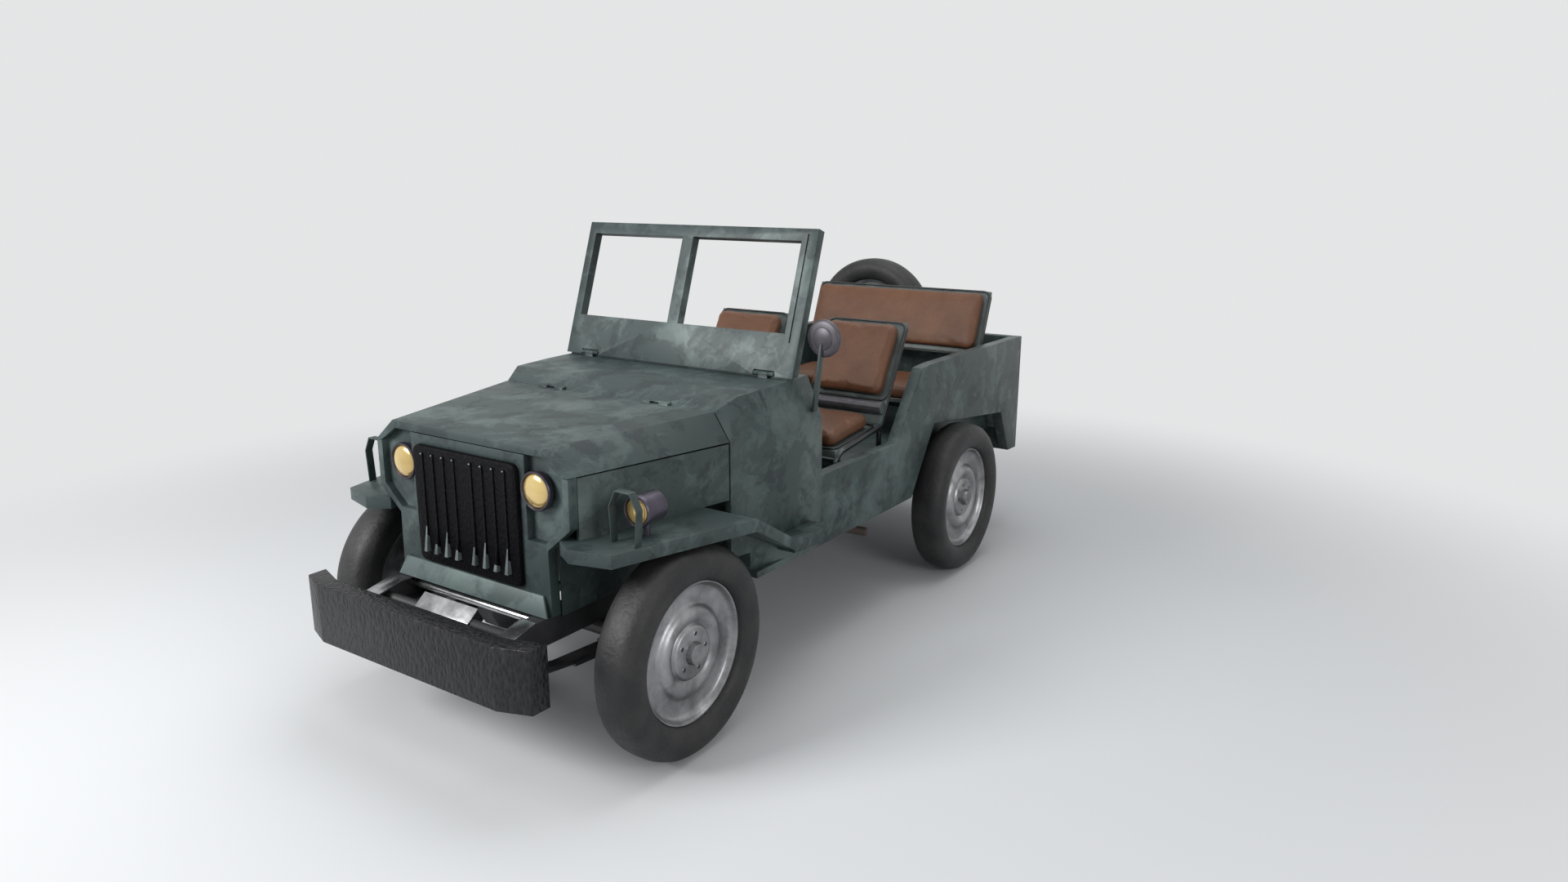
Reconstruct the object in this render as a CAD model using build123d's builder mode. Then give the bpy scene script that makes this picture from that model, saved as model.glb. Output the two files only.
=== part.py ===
from build123d import *
from math import cos, radians, sin
import os

os.makedirs("parts", exist_ok=True)

# An open four-wheel-drive army car that stands on its wheels. Millimetres.
# X is the car's left side, minus Y its front, and Z is up from the ground.
# Lengths along the car are given from the front axle, rearwards positive,
# and at() moves them so that the middle of the whole car is over the origin.

# wheels
wheelbase = 2032
half_track = 622.5
tyre_radius = 346
tyre_width = 155
tyre_ring = 12
rim_radius = 232
bead = 44
wheel_sides = 24
disc_sides = 12
joint_sides = 12
web_front = 24
web_back = 8
dome_face = 42
dome_radius = 146
hub_foot = 84
bore_reach = 29
hub_base = 44
hub_reach = 66
hub_radius = 36
spindle_radius = 22
running_gap = 0.4
end_gap = 1
seat_gap = 0.3

# axles and steering
axle_radius = 33
kingpin_inset = 102.5
ball_radius = 50
cup_radius = 54
cup_wall = 11
cup_rear_angle = 9
pin_gap = 24
kingpin_radius = 19
drum_radius = 125
drum_inset = 38
plate_thickness = 4
plate_rim = 4
diff_x = -165
diff_radius = 112
diff_edge = 60
diff_width = 150
nose_reach = 150
nose_radius = 42
pinion_drop = 38
arm_back = 160
arm_width = 26
arm_low = 330
arm_high = 350
eye_radius = 20
pin_radius = 7
tie_rod_radius = 12
tie_socket = 16

# frame and floors
rail_outer = 343
rail_width = 56
rail_wall = 5
tube_radius = 17
floor_low = 440
floor_thickness = 25
floor_rear = 545
deck = 20
step_ahead = 472
rear_overhang = 776
frame_short = 63

# body
body_half = 608
wall = 50
body_bottom = 440
body_low_rear = 420
rail_top = 1010
sill_top = 715
cowl_front = 343
cowl_rear = 845
cowl_top = 1088
cowl_wall = 25
cowl_low_front = 530
cowl_lean = 0.4437
firewall_y = 430
shell_front = -284
nose_half = 441
nose_top_half = 349
nose_top = 1013
shoulder_z = 937
hood_gap = 5
hinge_radius = 5
hood_hinge_y = 341
hood_hinge_z = 1039
sheet = 12
house_width = 103
house_wall = 18

# grille and lamps
rim_depth = 26
grille_low = 560
grille_high = 952
grille_half = 238
grille_corner = 25
insert_depth = 14
lamp_x = 307
lamp_z = 880
lamp_radius = 62
lamp_sides = 16
bezel = 8
small_x = 577
small_y = -140
small_z = 828
small_radius = 50

# engine, shafts and exhaust
engine_half = 130
engine_front = -20
engine_rear = 350
engine_top = 860
case_front = 940
shaft_radius = 24
pipe_radius = 19
pipe_x = 200
pipe_z = 310

# fenders
fender_top = 741
fender_thickness = 42
fender_wide = 757
fender_rear = 221
step_top = 563
step_thickness = 53
lip = 6

# bumper
bumper_face = -568
bumper_low = 319
bumper_high = 517
bumper_thickness = 65
bumper_half = 520

# windshield
screen_foot = 722
screen_foot_z = 1100
screen_lean = 18.5
screen_half = 556
screen_thickness = 38
screen_height = 540
pane_low = 152
pane_high = 494
pane_bar = 52
pane_bar_x = -34
pane_left_edge = 490
pane_right_edge = -520
barrel = 7

# steering column, seats and bench
column_x = 250
column_foot = (470, 640)
column_top = (950, 1015)
column_radius = 14
wheel_radius = 160
wheel_grip = 10
seat_ahead = 440
seat_half = 195
seat_margin = 58
seat_rise = 240
bench_ahead = 723
bench_half = 500
bench_seat_z = 741

# spare wheel
spare_x = -320
spare_z = 1018
spare_gap = 22

kingpin_x = half_track - kingpin_inset
plate_x = half_track - drum_inset
floor_top = floor_low + floor_thickness
rear_floor = floor_rear + deck
floor_step = wheelbase - step_ahead
body_rear = wheelbase + rear_overhang
frame_rear = body_rear - frame_short
inner_half = body_half - wall
spare_front = body_rear + spare_gap
bumper_rear = bumper_face + bumper_thickness
axle_y = (-bumper_face - spare_front - tyre_width) / 2


def at(length):
    """A length rearwards of the front axle, as a Y of the model."""
    return axle_y + length


def spot(x, length, z):
    """A point given as X, length along the car and height."""
    return Vector(x, at(length), z)


def put(part, name):
    """Labels a finished piece and writes its STEP file."""
    part.label = name
    export_step(part, f"parts/{name}.step")


def span_x(points, x_from, x_to, mode=Mode.ADD):
    """A side outline of (length, height) points, carried across from one X to another."""
    with BuildSketch(Plane((x_from, 0, 0), x_dir=(0, 1, 0), z_dir=(1, 0, 0))) as outline:
        Polygon(*[(at(y), z) for y, z in points], align=None)
    extrude(outline.sketch, amount=x_to - x_from, dir=(1, 0, 0), mode=mode)


def span_y(points, y_from, y_to, mode=Mode.ADD):
    """A front outline of (X, height) points, carried rearwards from one length to another."""
    with BuildSketch(Plane((0, at(y_from), 0), x_dir=(1, 0, 0), z_dir=(0, -1, 0))) as outline:
        Polygon(*points, align=None)
    extrude(outline.sketch, amount=y_to - y_from, dir=(0, 1, 0), mode=mode)


def span_z(points, z_from, z_to, mode=Mode.ADD):
    """A plan outline of (X, length) points, carried up from one height to another."""
    with BuildSketch(Plane.XY.offset(z_from)) as outline:
        Polygon(*[(x, at(y)) for x, y in points], align=None)
    extrude(outline.sketch, amount=z_to - z_from, dir=(0, 0, 1), mode=mode)


def block(x_from, x_to, y_from, y_to, z_from, z_to, mode=Mode.ADD):
    """A square-cornered block between two X, two lengths and two heights."""
    middle = ((x_from + x_to) / 2, at((y_from + y_to) / 2), (z_from + z_to) / 2)
    with Locations(middle):
        Box(abs(x_to - x_from), abs(y_to - y_from), abs(z_to - z_from), mode=mode)


def rod(start, end, radius, mode=Mode.ADD):
    """A round pin or bore between two points, given as (X, length, height)."""
    first, last = spot(*start), spot(*end)
    with BuildSketch(Plane(first, z_dir=last - first)) as outline:
        Circle(radius)
    extrude(outline.sketch, amount=(last - first).length, dir=last - first, mode=mode)


def bar(start, end, radius, sides=8, mode=Mode.ADD):
    """A straight many-sided bar between two points, given as (X, length, height)."""
    first, last = spot(*start), spot(*end)
    with BuildSketch(Plane(first, z_dir=last - first)) as outline:
        RegularPolygon(radius, sides, major_radius=False, rotation=180 / sides)
    extrude(outline.sketch, amount=(last - first).length, dir=last - first, mode=mode)


def tube(points, radius, sides=8):
    """A many-sided tube through (X, length, height) points, mitred at its bends."""
    with BuildLine() as run:
        Polyline(*[spot(*point) for point in points])
    with BuildSketch(Plane(run.line @ 0, z_dir=run.line % 0)) as outline:
        RegularPolygon(radius, sides, major_radius=False)
    sweep(outline.sketch, path=run.line, transition=Transition.RIGHT)


def ringed(sections, middle, axis, sides, mode=Mode.ADD):
    """A many-sided round form with flat faces through its (offset along the axis, radius) sections."""
    way = Vector(*axis).normalized()
    across = Vector(0, 1, 0) if abs(way.X) > 0.5 else Vector(1, 0, 0)
    upward = way.cross(across).normalized()
    half_step = radians(180 / sides)
    rings = []
    for offset_along, radius in sections:
        centre, reach = spot(*middle) + way * offset_along, radius / cos(half_step)
        angles = [half_step * (2 * n + 1) for n in range(sides)]
        rings.append([centre + (across * cos(a) + upward * sin(a)) * reach for a in angles])
    faces = [Face(Wire.make_polygon(ring)) for ring in (rings[0], rings[-1])]
    for near, far in zip(rings, rings[1:]):
        for n in range(sides):
            faces.append(Face(Wire.make_polygon([near[n - 1], near[n], far[n], far[n - 1]])))
    add(Solid(Shell(faces)), mode=mode)


def ball_sections(radius, angles):
    """Sections of a ball at angles in degrees from its middle plane."""
    return [(radius * sin(radians(a)), radius * cos(radians(a))) for a in angles]


def both(points):
    """A right-hand outline of (X, Z) points, closed by its own mirror image."""
    return points + [(-x, z) for x, z in reversed(points)]


# Frame: two channel rails that rise over both axles, and their cross members
# y, top z and bottom z of each bend of a rail
rail_bends = [
    (bumper_rear, 450, 370),
    (-345, 487, 402),
    (230, 487, 402),
    (420, floor_low, 352),
    (floor_step + 22, floor_low, 352),
    (wheelbase - 272, floor_rear, 455),
    (frame_rear, floor_rear, 455),
]
rail_outline = [(y, top) for y, top, low in rail_bends]
rail_outline += [(y, low) for y, top, low in reversed(rail_bends)]
channel = [(y, top - rail_wall) for y, top, low in rail_bends]
channel += [(y, low + rail_wall) for y, top, low in reversed(rail_bends)]
rail_inner = rail_outer - rail_width
cross_half = rail_outer - rail_wall
# y, low z, high z and depth of each cross member: radiator, engine, gearbox, rear ones
cross_members = [
    (-190, 425, 487, 46),
    (300, 400, 464, 60),
    (1150, 375, 438, 50),
    (wheelbase - 332, 420, 480, 50),
    (frame_rear - 30, 460, 540, 60),
]
front_tube = (-385, 442)
with BuildPart() as chassis_frame:
    for side in (1, -1):
        span_x(rail_outline, side * rail_inner, side * rail_outer)
        span_x(channel, side * rail_inner, side * cross_half, mode=Mode.SUBTRACT)
    for y, low, high, depth in cross_members:
        block(-cross_half, cross_half, y - depth / 2, y + depth / 2, low, high)
    bar((-cross_half, *front_tube), (cross_half, *front_tube), tube_radius, 12)
put(chassis_frame.part, "chassis_frame")

# Steel plates behind the bumper, on the rails' horns and on the front tube,
# and the bright tube between the rails
# inner X, outer X, then the front and rear (y, z) of each plate's top
plate_table = [
    (rail_inner - 4, rail_outer + 4, (-502, 455.5), (-345, 492.3)),
    (-rail_outer - 4, 4 - rail_inner, (-502, 455.5), (-345, 492.3)),
    (-144, 110, (-407, 452), (-363, 488)),
]
steel = 5
bright_tube = (-275, 455)
bright_radius = 12
with BuildPart() as horn_plates:
    for x_from, x_to, front, rear in plate_table:
        lower = [(y, z - steel) for y, z in (rear, front)]
        span_x([front, rear] + lower, x_from, x_to)
    tube_end = cross_half - seat_gap
    bar((-tube_end, *bright_tube), (tube_end, *bright_tube), bright_radius, 12)
put(horn_plates.part, "horn_plates")

# Front bumper: a thick beam whose ends bend back
bumper_plan = [(410, bumper_face), (518, -530), (bumper_half, -464), (402, bumper_rear)]
with BuildPart() as front_bumper:
    span_z(both(bumper_plan), bumper_low, bumper_high)
put(front_bumper.part, "front_bumper")


def axle_tube(y, tube_half, nose_way):
    """An axle tube with its differential housing and the housing's nose."""
    bar((-tube_half, y, tyre_radius), (tube_half, y, tyre_radius), axle_radius, joint_sides)
    half = diff_width / 2
    sections = [(-half, diff_edge), (-half / 2, diff_radius), (half / 2, diff_radius), (half, diff_edge)]
    ringed(sections, (diff_x, y, tyre_radius), (1, 0, 0), joint_sides)
    pinion_z = tyre_radius - pinion_drop
    bar((diff_x, y, pinion_z), (diff_x, y + nose_way * nose_reach, pinion_z), nose_radius, joint_sides)


# Front axle: its ends are the balls that the steering knuckles turn on
ball_angles = (-72, -45, -15, 15, 45, 72)
with BuildPart() as front_axle:
    axle_tube(0, kingpin_x - 10, 1)
    for x in (kingpin_x, -kingpin_x):
        ringed(ball_sections(ball_radius, ball_angles), (x, 0, tyre_radius), (1, 0, 0), joint_sides)
put(front_axle.part, "front_axle")


def backing_plate(side, y):
    """The brake's backing plate, and the spindle that carries the wheel."""
    start = side * (plate_x - plate_thickness)
    bar((start, y, tyre_radius), (side * plate_x, y, tyre_radius), drum_radius + plate_rim, disc_sides)
    end = side * (half_track + bore_reach - end_gap)
    rod((start, y, tyre_radius), (end, y, tyre_radius), spindle_radius)


with BuildPart() as rear_axle:
    axle_tube(wheelbase, plate_x, -1)
    for side in (1, -1):
        backing_plate(side, wheelbase)
put(rear_axle.part, "rear_axle")

# Leaf springs under the axles: three leaves each, with their hangers
spring_x = rail_outer - rail_width / 2
spring_width = 44
leaf = 9
clamp_half = 38
hanger_half = 13
# axle y, front end y and z, rear end y and z, z of the top leaf at the axle
spring_table = [
    (0, -440, 350, 460, 326, 304),
    (wheelbase, wheelbase - 487, 326, wheelbase + 488, 425, 301),
]
# how far each leaf reaches, as a share of the top one, from the top down
leaf_reach = [1.0, 0.68, 0.36]


def rail_low(y):
    """The height of a rail's underside at a length along the car."""
    for (y_from, _, z_from), (y_to, _, z_to) in zip(rail_bends, rail_bends[1:]):
        if y_from <= y <= y_to:
            return z_from + (z_to - z_from) * (y - y_from) / (y_to - y_from)
    return rail_bends[-1][2]


def leaf_line(y, z, ends, reach, drop):
    """The top of a leaf, front to rear: level under the axle and bowed up to both ends."""
    line = []
    for way, (y_end, z_end) in zip((-1, 1), ends):
        foot = y + way * clamp_half
        shares = [reach * part for part in (0, 0.5, 1)][::way]
        line += [(foot + (y_end - foot) * s, z + (z_end - z) * s**2 - drop) for s in shares]
    return line


with BuildPart() as leaf_springs:
    for side in (1, -1):
        edges = (side * (spring_x - spring_width / 2), side * (spring_x + spring_width / 2))
        for y, y_front, z_front, y_rear, z_rear, z_mid in spring_table:
            ends = ((y_front, z_front), (y_rear, z_rear))
            for count, reach in enumerate(leaf_reach):
                high = leaf_line(y, z_mid, ends, reach, leaf * count)
                span_x(high + [(p, q - leaf) for p, q in reversed(high)], *edges)
            saddle = (z_mid - leaf, tyre_radius - axle_radius - seat_gap)
            block(*edges, y - clamp_half, y + clamp_half, *saddle)
            for y_end, z_end in ends:
                low_end = min(rail_low(y_end - hanger_half), rail_low(y_end + hanger_half))
                block(*edges, y_end - hanger_half, y_end + hanger_half, z_end - leaf, low_end)
put(leaf_springs.part, "leaf_springs")

# Engine: one plain block on a cross member, and the radiator ahead of it
with BuildPart() as engine_block:
    engine_low = cross_members[1][2] + seat_gap
    block(-engine_half, engine_half, engine_front, engine_rear, engine_low, engine_top)
put(engine_block.part, "engine_block")

radiator_half = 215
radiator_top = 930
with BuildPart() as radiator:
    y, _, member_top, depth = cross_members[0]
    core = (y - depth / 2, y + depth / 2, member_top + seat_gap, radiator_top)
    block(-radiator_half, radiator_half, *core)
put(radiator.part, "radiator")

# Clutch housing, gearbox, transfer case and the two propeller shafts
gearbox_half = 95
gearbox_low = 330
clutch_rear = 425
clutch_top = 600
case_left = -15
case_right = -245
case_low = 250
case_rear = cross_members[2][0] - cross_members[2][3] / 2 - seat_gap
under_floor = floor_low - seat_gap
shaft_z = tyre_radius - pinion_drop
with BuildPart() as driveline:
    gearbox_front = engine_rear + seat_gap
    block(-gearbox_half, gearbox_half, gearbox_front, case_front + 10, gearbox_low, under_floor)
    block(-gearbox_half, gearbox_half, gearbox_front, clutch_rear, under_floor, clutch_top)
    block(case_right, case_left, case_front, case_rear, case_low, under_floor)
    shaft_ends = ((nose_reach + seat_gap, case_front), (case_rear, wheelbase - nose_reach - seat_gap))
    for y_from, y_to in shaft_ends:
        bar((diff_x, y_from, shaft_z), (diff_x, y_to, shaft_z), shaft_radius, 12)
put(driveline.part, "driveline")

# Exhaust: a pipe along the left rail, a round silencer and a side outlet
silencer_radius = 58
silencer_length = (780, 1110)
hanger_y = cross_members[2][0]
outlet_y = floor_step - 160
with BuildPart() as exhaust:
    pipe_points = [
        (engine_half + seat_gap, 60, 560),
        (pipe_x, 60, 560),
        (pipe_x, 60, pipe_z),
        (pipe_x, outlet_y, pipe_z),
        (470, outlet_y + 50, pipe_z - 12),
    ]
    tube(pipe_points, pipe_radius)
    silencer = [(pipe_x, y, pipe_z) for y in silencer_length]
    bar(*silencer, silencer_radius, joint_sides)
    hanger_top = cross_members[2][1] - seat_gap
    block(pipe_x - 10, pipe_x + 10, hanger_y - 10, hanger_y + 10, pipe_z, hanger_top)
put(exhaust.part, "exhaust")

# Front shell: the sunk panel, its rim, the block below it and the nose round
# the grille, with a niche for each headlamp between them
shell_side = [(350, 487.3), (345, 700), (nose_half, 780), (nose_half, 935), (426, 935), (341, 997)]
panel_face = shell_front + rim_depth
niche_in = 262
niche = [(niche_in, 719), (338, 719), (417, 791), (417, 940), (niche_in, 1000)]
grille_middle = (grille_low + grille_high) / 2
with BuildPart() as front_shell:
    span_y(both(shell_side), shell_front + 2, panel_face + sheet)
    for side in (1, -1):
        span_y([(side * x, z) for x, z in niche], shell_front, panel_face, mode=Mode.SUBTRACT)
        top_cut = (shell_front, panel_face + 0.01, 935.5, 1000)
        block(side * niche_in, side * (nose_half + 4), *top_cut, mode=Mode.SUBTRACT)
        lamp_hole = [(side * lamp_x, y, lamp_z) for y in (shell_front, panel_face)]
        bar(*lamp_hole, lamp_radius + seat_gap, lamp_sides, mode=Mode.SUBTRACT)
    block(-niche_in, niche_in, shell_front, panel_face + 0.01, 984, 1000, mode=Mode.SUBTRACT)
    with BuildSketch(Plane((0, at(shell_front), 0), x_dir=(1, 0, 0), z_dir=(0, -1, 0))):
        with Locations((0, grille_middle)):
            RectangleRounded(2 * grille_half, grille_high - grille_low, grille_corner)
    extrude(amount=-(rim_depth + sheet), mode=Mode.SUBTRACT)
put(front_shell.part, "front_shell")

# Grille insert, and its upright bars that end in wedges at the bottom
insert_face = shell_front - insert_depth
with BuildPart() as grille_insert:
    with BuildSketch(Plane((0, at(insert_face), 0), x_dir=(1, 0, 0), z_dir=(0, -1, 0))):
        with Locations((0, grille_middle)):
            insert_size = (2 * (grille_half - seat_gap), grille_high - grille_low - 2 * seat_gap)
            RectangleRounded(*insert_size, grille_corner)
    extrude(amount=-(insert_depth + rim_depth + sheet - 2))
put(grille_insert.part, "grille_insert")

bar_foot = 600
bar_top = 930
wedge_top = 705
wedge_depth = 14
with BuildPart() as grille_bars:
    back = insert_face - seat_gap / 2
    for x in (40, 90, 140, 190, -40, -90, -140, -190):
        block(x - 4, x + 4, back - 4, back, bar_foot, bar_top)
        wedge = [(x - 9, back), (x + 9, back), (x + 6, back - wedge_depth), (x - 6, back - wedge_depth)]
        corners = [spot(p, q, bar_foot) for p, q in wedge]
        ConvexPolyhedron(corners + [spot(x - 2, back, wedge_top), spot(x + 2, back, wedge_top)])
put(grille_bars.part, "grille_bars")

# Apron below the grille, which slopes forward to the horns
apron_thickness = 8
with BuildPart() as front_apron:
    for half, y, z in ((322, -286.3, 553), (350, -303, 490)):
        with BuildSketch(Plane.XY.offset(z)):
            with Locations((0, at(y))):
                Rectangle(2 * half, apron_thickness)
    loft(ruled=True)
put(front_apron.part, "front_apron")

# Lamps: their cans with bezels, then the lenses in a node of their own
# x, y of the front edge, z, radius and length of each can
lamp_table = [
    (lamp_x, panel_face - 24, lamp_z, lamp_radius, 24),
    (-lamp_x, panel_face - 24, lamp_z, lamp_radius, 24),
    (small_x, small_y, small_z, small_radius, 90),
]
bezel_depth = 10
with BuildPart() as lamp_cans:
    for x, y, z, radius, length in lamp_table:
        bar((x, y, z), (x, y + length, z), radius, lamp_sides)
        bar((x, y, z), (x, y + bezel_depth, z), radius - bezel, lamp_sides, mode=Mode.SUBTRACT)
    foot = (small_x - 11, small_x + 11, small_y + 25, small_y + 55)
    block(*foot, fender_top, small_z - small_radius + 2)
put(lamp_cans.part, "lamp_cans")

lens_thickness = 5.7
with BuildPart() as lamp_lenses:
    for x, y, z, radius, length in lamp_table:
        lens = radius - bezel - 0.5
        dome = [(-lens_thickness, lens), (0, lens), (9.5, lens * 0.72), (14.5, lens * 0.34)]
        ringed(dome, (x, y + bezel_depth - lens_thickness - 0.1, z), (0, -1, 0), lamp_sides)
put(lamp_lenses.part, "lamp_lenses")

# Hood: a folded sheet whose sides lean in, hinged at the cowl
hood_rear = cowl_front - hood_gap
hood_low = shoulder_z + 1
# y, half width of the flat top, its z, half width at the shoulder
hood_sections = [
    (shell_front, nose_top_half, nose_top, nose_half),
    (hood_rear, body_half - 112, nose_top + 20, body_half - 48),
]
# X ranges of the hinge barrels on the hood, and of the fixed one between them
hinge_runs = [(-310, -270.4), (-229.6, -190), (190, 229.6), (270.4, 310)]
fixed_runs = [(-270, -230), (230, 270)]


def hood_corners(inset, drop):
    """The corners of the hood's outer or inner form."""
    corners = []
    for y, half, z, shoulder in hood_sections:
        for x, height in ((half - inset * 0.4, z - inset), (shoulder - inset, hood_low - drop)):
            corners += [spot(x, y, height), spot(-x, y, height)]
    return corners


with BuildPart() as hood:
    ConvexPolyhedron(hood_corners(0, 0))
    ConvexPolyhedron(hood_corners(sheet, 1), mode=Mode.SUBTRACT)
    fold_out = [(nose_half - 1, hood_low), (nose_top_half, nose_top - 1)]
    fold_in = [(nose_top_half - 11, nose_top - 25), (nose_half - 25, hood_low)]
    for side in (1, -1):
        arm = [(side * x, z) for x, z in fold_out + fold_in]
        span_y(arm, shell_front, panel_face - 3)
    block(-nose_top_half, nose_top_half, shell_front, panel_face - 3, nose_top - 25, nose_top - 1)
    for start, end in hinge_runs:
        hinge = (hood_hinge_y, hood_hinge_z)
        bar((start, *hinge), (end, *hinge), hinge_radius)
        block(start, end, hood_rear - 14, hood_rear - 1, nose_top + 17, hood_hinge_z + 2)
put(hood.part, "hood")

# Cowl: the step behind the hood, the top, the dash, the sides and the firewall
# y, then how far in the shoulder and the top's edge lie, and the top's z
cowl_sections = [
    (cowl_front, 47, 111, nose_top + 20),
    (426, 31, 76, cowl_top - 13),
    (600, 0, cowl_lean * (cowl_top - 7 - shoulder_z), cowl_top - 7),
    (cowl_rear, 0, cowl_lean * (cowl_top - shoulder_z), cowl_top),
]
screen_pivot = (screen_foot, screen_foot_z)
screen_low = screen_foot_z - 8
column_ends = ((column_x, *column_foot), (column_x, *column_top))


def cowl_form(inset, low, mode):
    """The cowl's outer or inner form, one length between two sections at a time."""
    for first, last in zip(cowl_sections, cowl_sections[1:]):
        corners = []
        for y, shoulder_in, edge_in, z in (first, last):
            reach = y + (1 if y == cowl_rear else -1 if y == cowl_front else 0) * (inset > 0)
            right = [
                (body_half - shoulder_in - inset, low),
                (body_half - shoulder_in - inset, shoulder_z - inset * 0.4),
                (body_half - edge_in - inset * 0.5, z - inset),
            ]
            corners += [spot(x, reach, height) for x, height in both(right)]
        ConvexPolyhedron(corners, mode=mode)


with BuildPart() as cowl:
    cowl_form(0, floor_top, Mode.ADD)
    cowl_form(cowl_wall, floor_top - 1, Mode.SUBTRACT)
    wall_line = [(48, floor_top), (48, shoulder_z), (83, cowl_top - 38)]
    span_y(both([(body_half - x, z) for x, z in wall_line]), firewall_y, firewall_y + sheet)
    dash = (cowl_rear - 20, cowl_rear)
    block(18 - body_half, body_half - 18, *dash, shoulder_z - 57, shoulder_z)
    dash_line = [(body_half - 18, shoulder_z - 0.5), (body_half - 80, cowl_top - 12)]
    span_y(both(dash_line), *dash)
    below = (cowl_front - 2, firewall_y, floor_top - 1, cowl_low_front)
    block(-body_half, body_half, *below, mode=Mode.SUBTRACT)
    bar(*column_ends, column_radius + 0.5, mode=Mode.SUBTRACT)
    for start, end in fixed_runs:
        pivot = (hood_hinge_y, hood_hinge_z)
        rod((start, *pivot), (end, *pivot), hinge_radius)
        block(start, end, hood_hinge_y, cowl_front + 14, nose_top + 17, hood_hinge_z + 2)
    for x in (-430, 430):
        rod((x - 20, *screen_pivot), (x + 20, *screen_pivot), barrel)
        block(x - 20, x + 20, screen_foot - barrel, screen_foot + 4, cowl_top - 9, screen_foot_z)
    ledge = (screen_foot + 10, screen_foot + 30, cowl_top - 9, screen_low - seat_gap)
    block(12 - screen_half, screen_half - 12, *ledge)
put(cowl.part, "cowl")

# Tub: the floor in two levels, thick side walls, rear panel and wheel houses
# the arch over the rear wheel, as (length from the rear axle, height)
arch_line = [(-432, body_bottom), (-232, 735), (128, 695), (547, 648)]
arch_foot = (670, 424)
arch = [(wheelbase + y, z) for y, z in arch_line]
arch_rear = (wheelbase + arch_foot[0], arch_foot[1])
side_outline = [(cowl_rear, body_bottom)] + arch + [
    arch_rear,
    (body_rear, body_low_rear),
    (body_rear, rail_top),
    (wheelbase - 264, rail_top),
    (wheelbase - 370, rail_top - 7),
    (wheelbase - 587, sill_top),
    (cowl_rear, sill_top),
]
house_x = body_half - house_width
house_end = wheelbase + 628
house_under = arch + [(house_end, floor_rear)]
house_over = [(y + dy, z + dz) for (y, z), dy, dz in zip(arch, (-15, -15, 0, 11), (0, 18, 18, 18))]
house_over += [(house_end + 20, floor_rear)]
inside = inner_half - seat_gap


def beyond(start, end, z, gap):
    """A point at height z on the line from start to end, moved along the car by a gap."""
    share = (z - start[1]) / (end[1] - start[1])
    return (start[0] + share * (end[0] - start[0]) + gap, z)


# the floor beside each wheel house, before and behind it
strip_front = [(floor_step, rear_floor), (floor_step, floor_rear)]
strip_front += [beyond(*house_over[:2], z, -seat_gap) for z in (floor_rear, rear_floor)]
strip_rear = [beyond(*house_over[-2:], z, seat_gap) for z in (rear_floor, floor_rear)]
strip_rear += [(body_rear - wall - seat_gap, z) for z in (floor_rear, rear_floor)]
# the house's front slope, then its top and rear slope
slope = [house_over[0], house_over[1], house_under[1], house_under[0]]
top_front = [(y + seat_gap, z) for y, z in (house_under[1], house_over[1])]
house_top = top_front + house_over[2:] + house_under[:1:-1]
rear_low = [
    (body_rear, body_low_rear),
    (body_rear, floor_rear - seat_gap),
    (arch_rear[0] - 12, floor_rear - seat_gap),
    arch_rear,
]
with BuildPart() as tub:
    block(-inside, inside, body_rear - wall, body_rear, floor_rear, rail_top)
    block(-body_half, body_half, firewall_y, cowl_rear - seat_gap, floor_low, floor_top)
    block(-inside, inside, cowl_rear, floor_step - seat_gap, floor_low, floor_top)
    block(-inside, inside, floor_step, floor_step + deck, floor_low, floor_rear - seat_gap)
    centre = house_x - house_wall - seat_gap
    block(-centre, centre, floor_step, body_rear - wall - seat_gap, floor_rear, rear_floor)
    for side in (1, -1):
        span_x(side_outline, side * inner_half, side * body_half)
        for strip in (strip_front, strip_rear):
            span_x(strip, side * (house_x - house_wall), side * inside)
        span_x(house_over, side * (house_x - house_wall), side * (house_x - seat_gap))
        for band in (slope, house_top):
            span_x(band, side * house_x, side * inside)
        span_x(rear_low, side * (rail_outer + 20), side * inside)
put(tub.part, "tub")

# Fenders: a level top that widens rearwards, its lip, the ramp down to the
# step, the inner wall beside the rail and the panel up to the hood
inner_wall = rail_outer + 9
fender_front = panel_face + sheet + seat_gap
fender_plan = [
    (inner_wall, fender_front),
    (397, fender_front),
    (397, -283),
    (472, -325),
    (body_half, -290),
    (fender_wide, fender_rear),
    (inner_wall, fender_rear),
]
# y, how far the inner edge lies inside the body's side, outer X and top z along the ramp
ramp_table = [
    (fender_rear, 67, fender_wide, fender_top),
    (341, 43, fender_wide - 28, 678),
    (428, 27, fender_wide - 48, 632),
    (558, 4, fender_wide - 78, step_top),
]
# inner edge past the body's side, outer edge inside the fender's widest, along the step
step_rear = 765
step_plan = [
    (body_half - 4, 558),
    (body_half + 2, 597),
    (body_half + 2, step_rear),
    (fender_wide - 92, step_rear),
    (fender_wide - 56, 711),
    (fender_wide - 78, 558),
]
guard_foot = fender_top + seat_gap
# the strap round each fender lamp, as (X, Z) of its outer and inner bends
guard_outer = [(527, guard_foot), (520, 852), (546, 903), (606, 903), (632, 852), (624, guard_foot)]
guard_inner = [(619, guard_foot), (627, 851), (603, 898), (549, 898), (525, 851), (532, guard_foot)]


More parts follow.
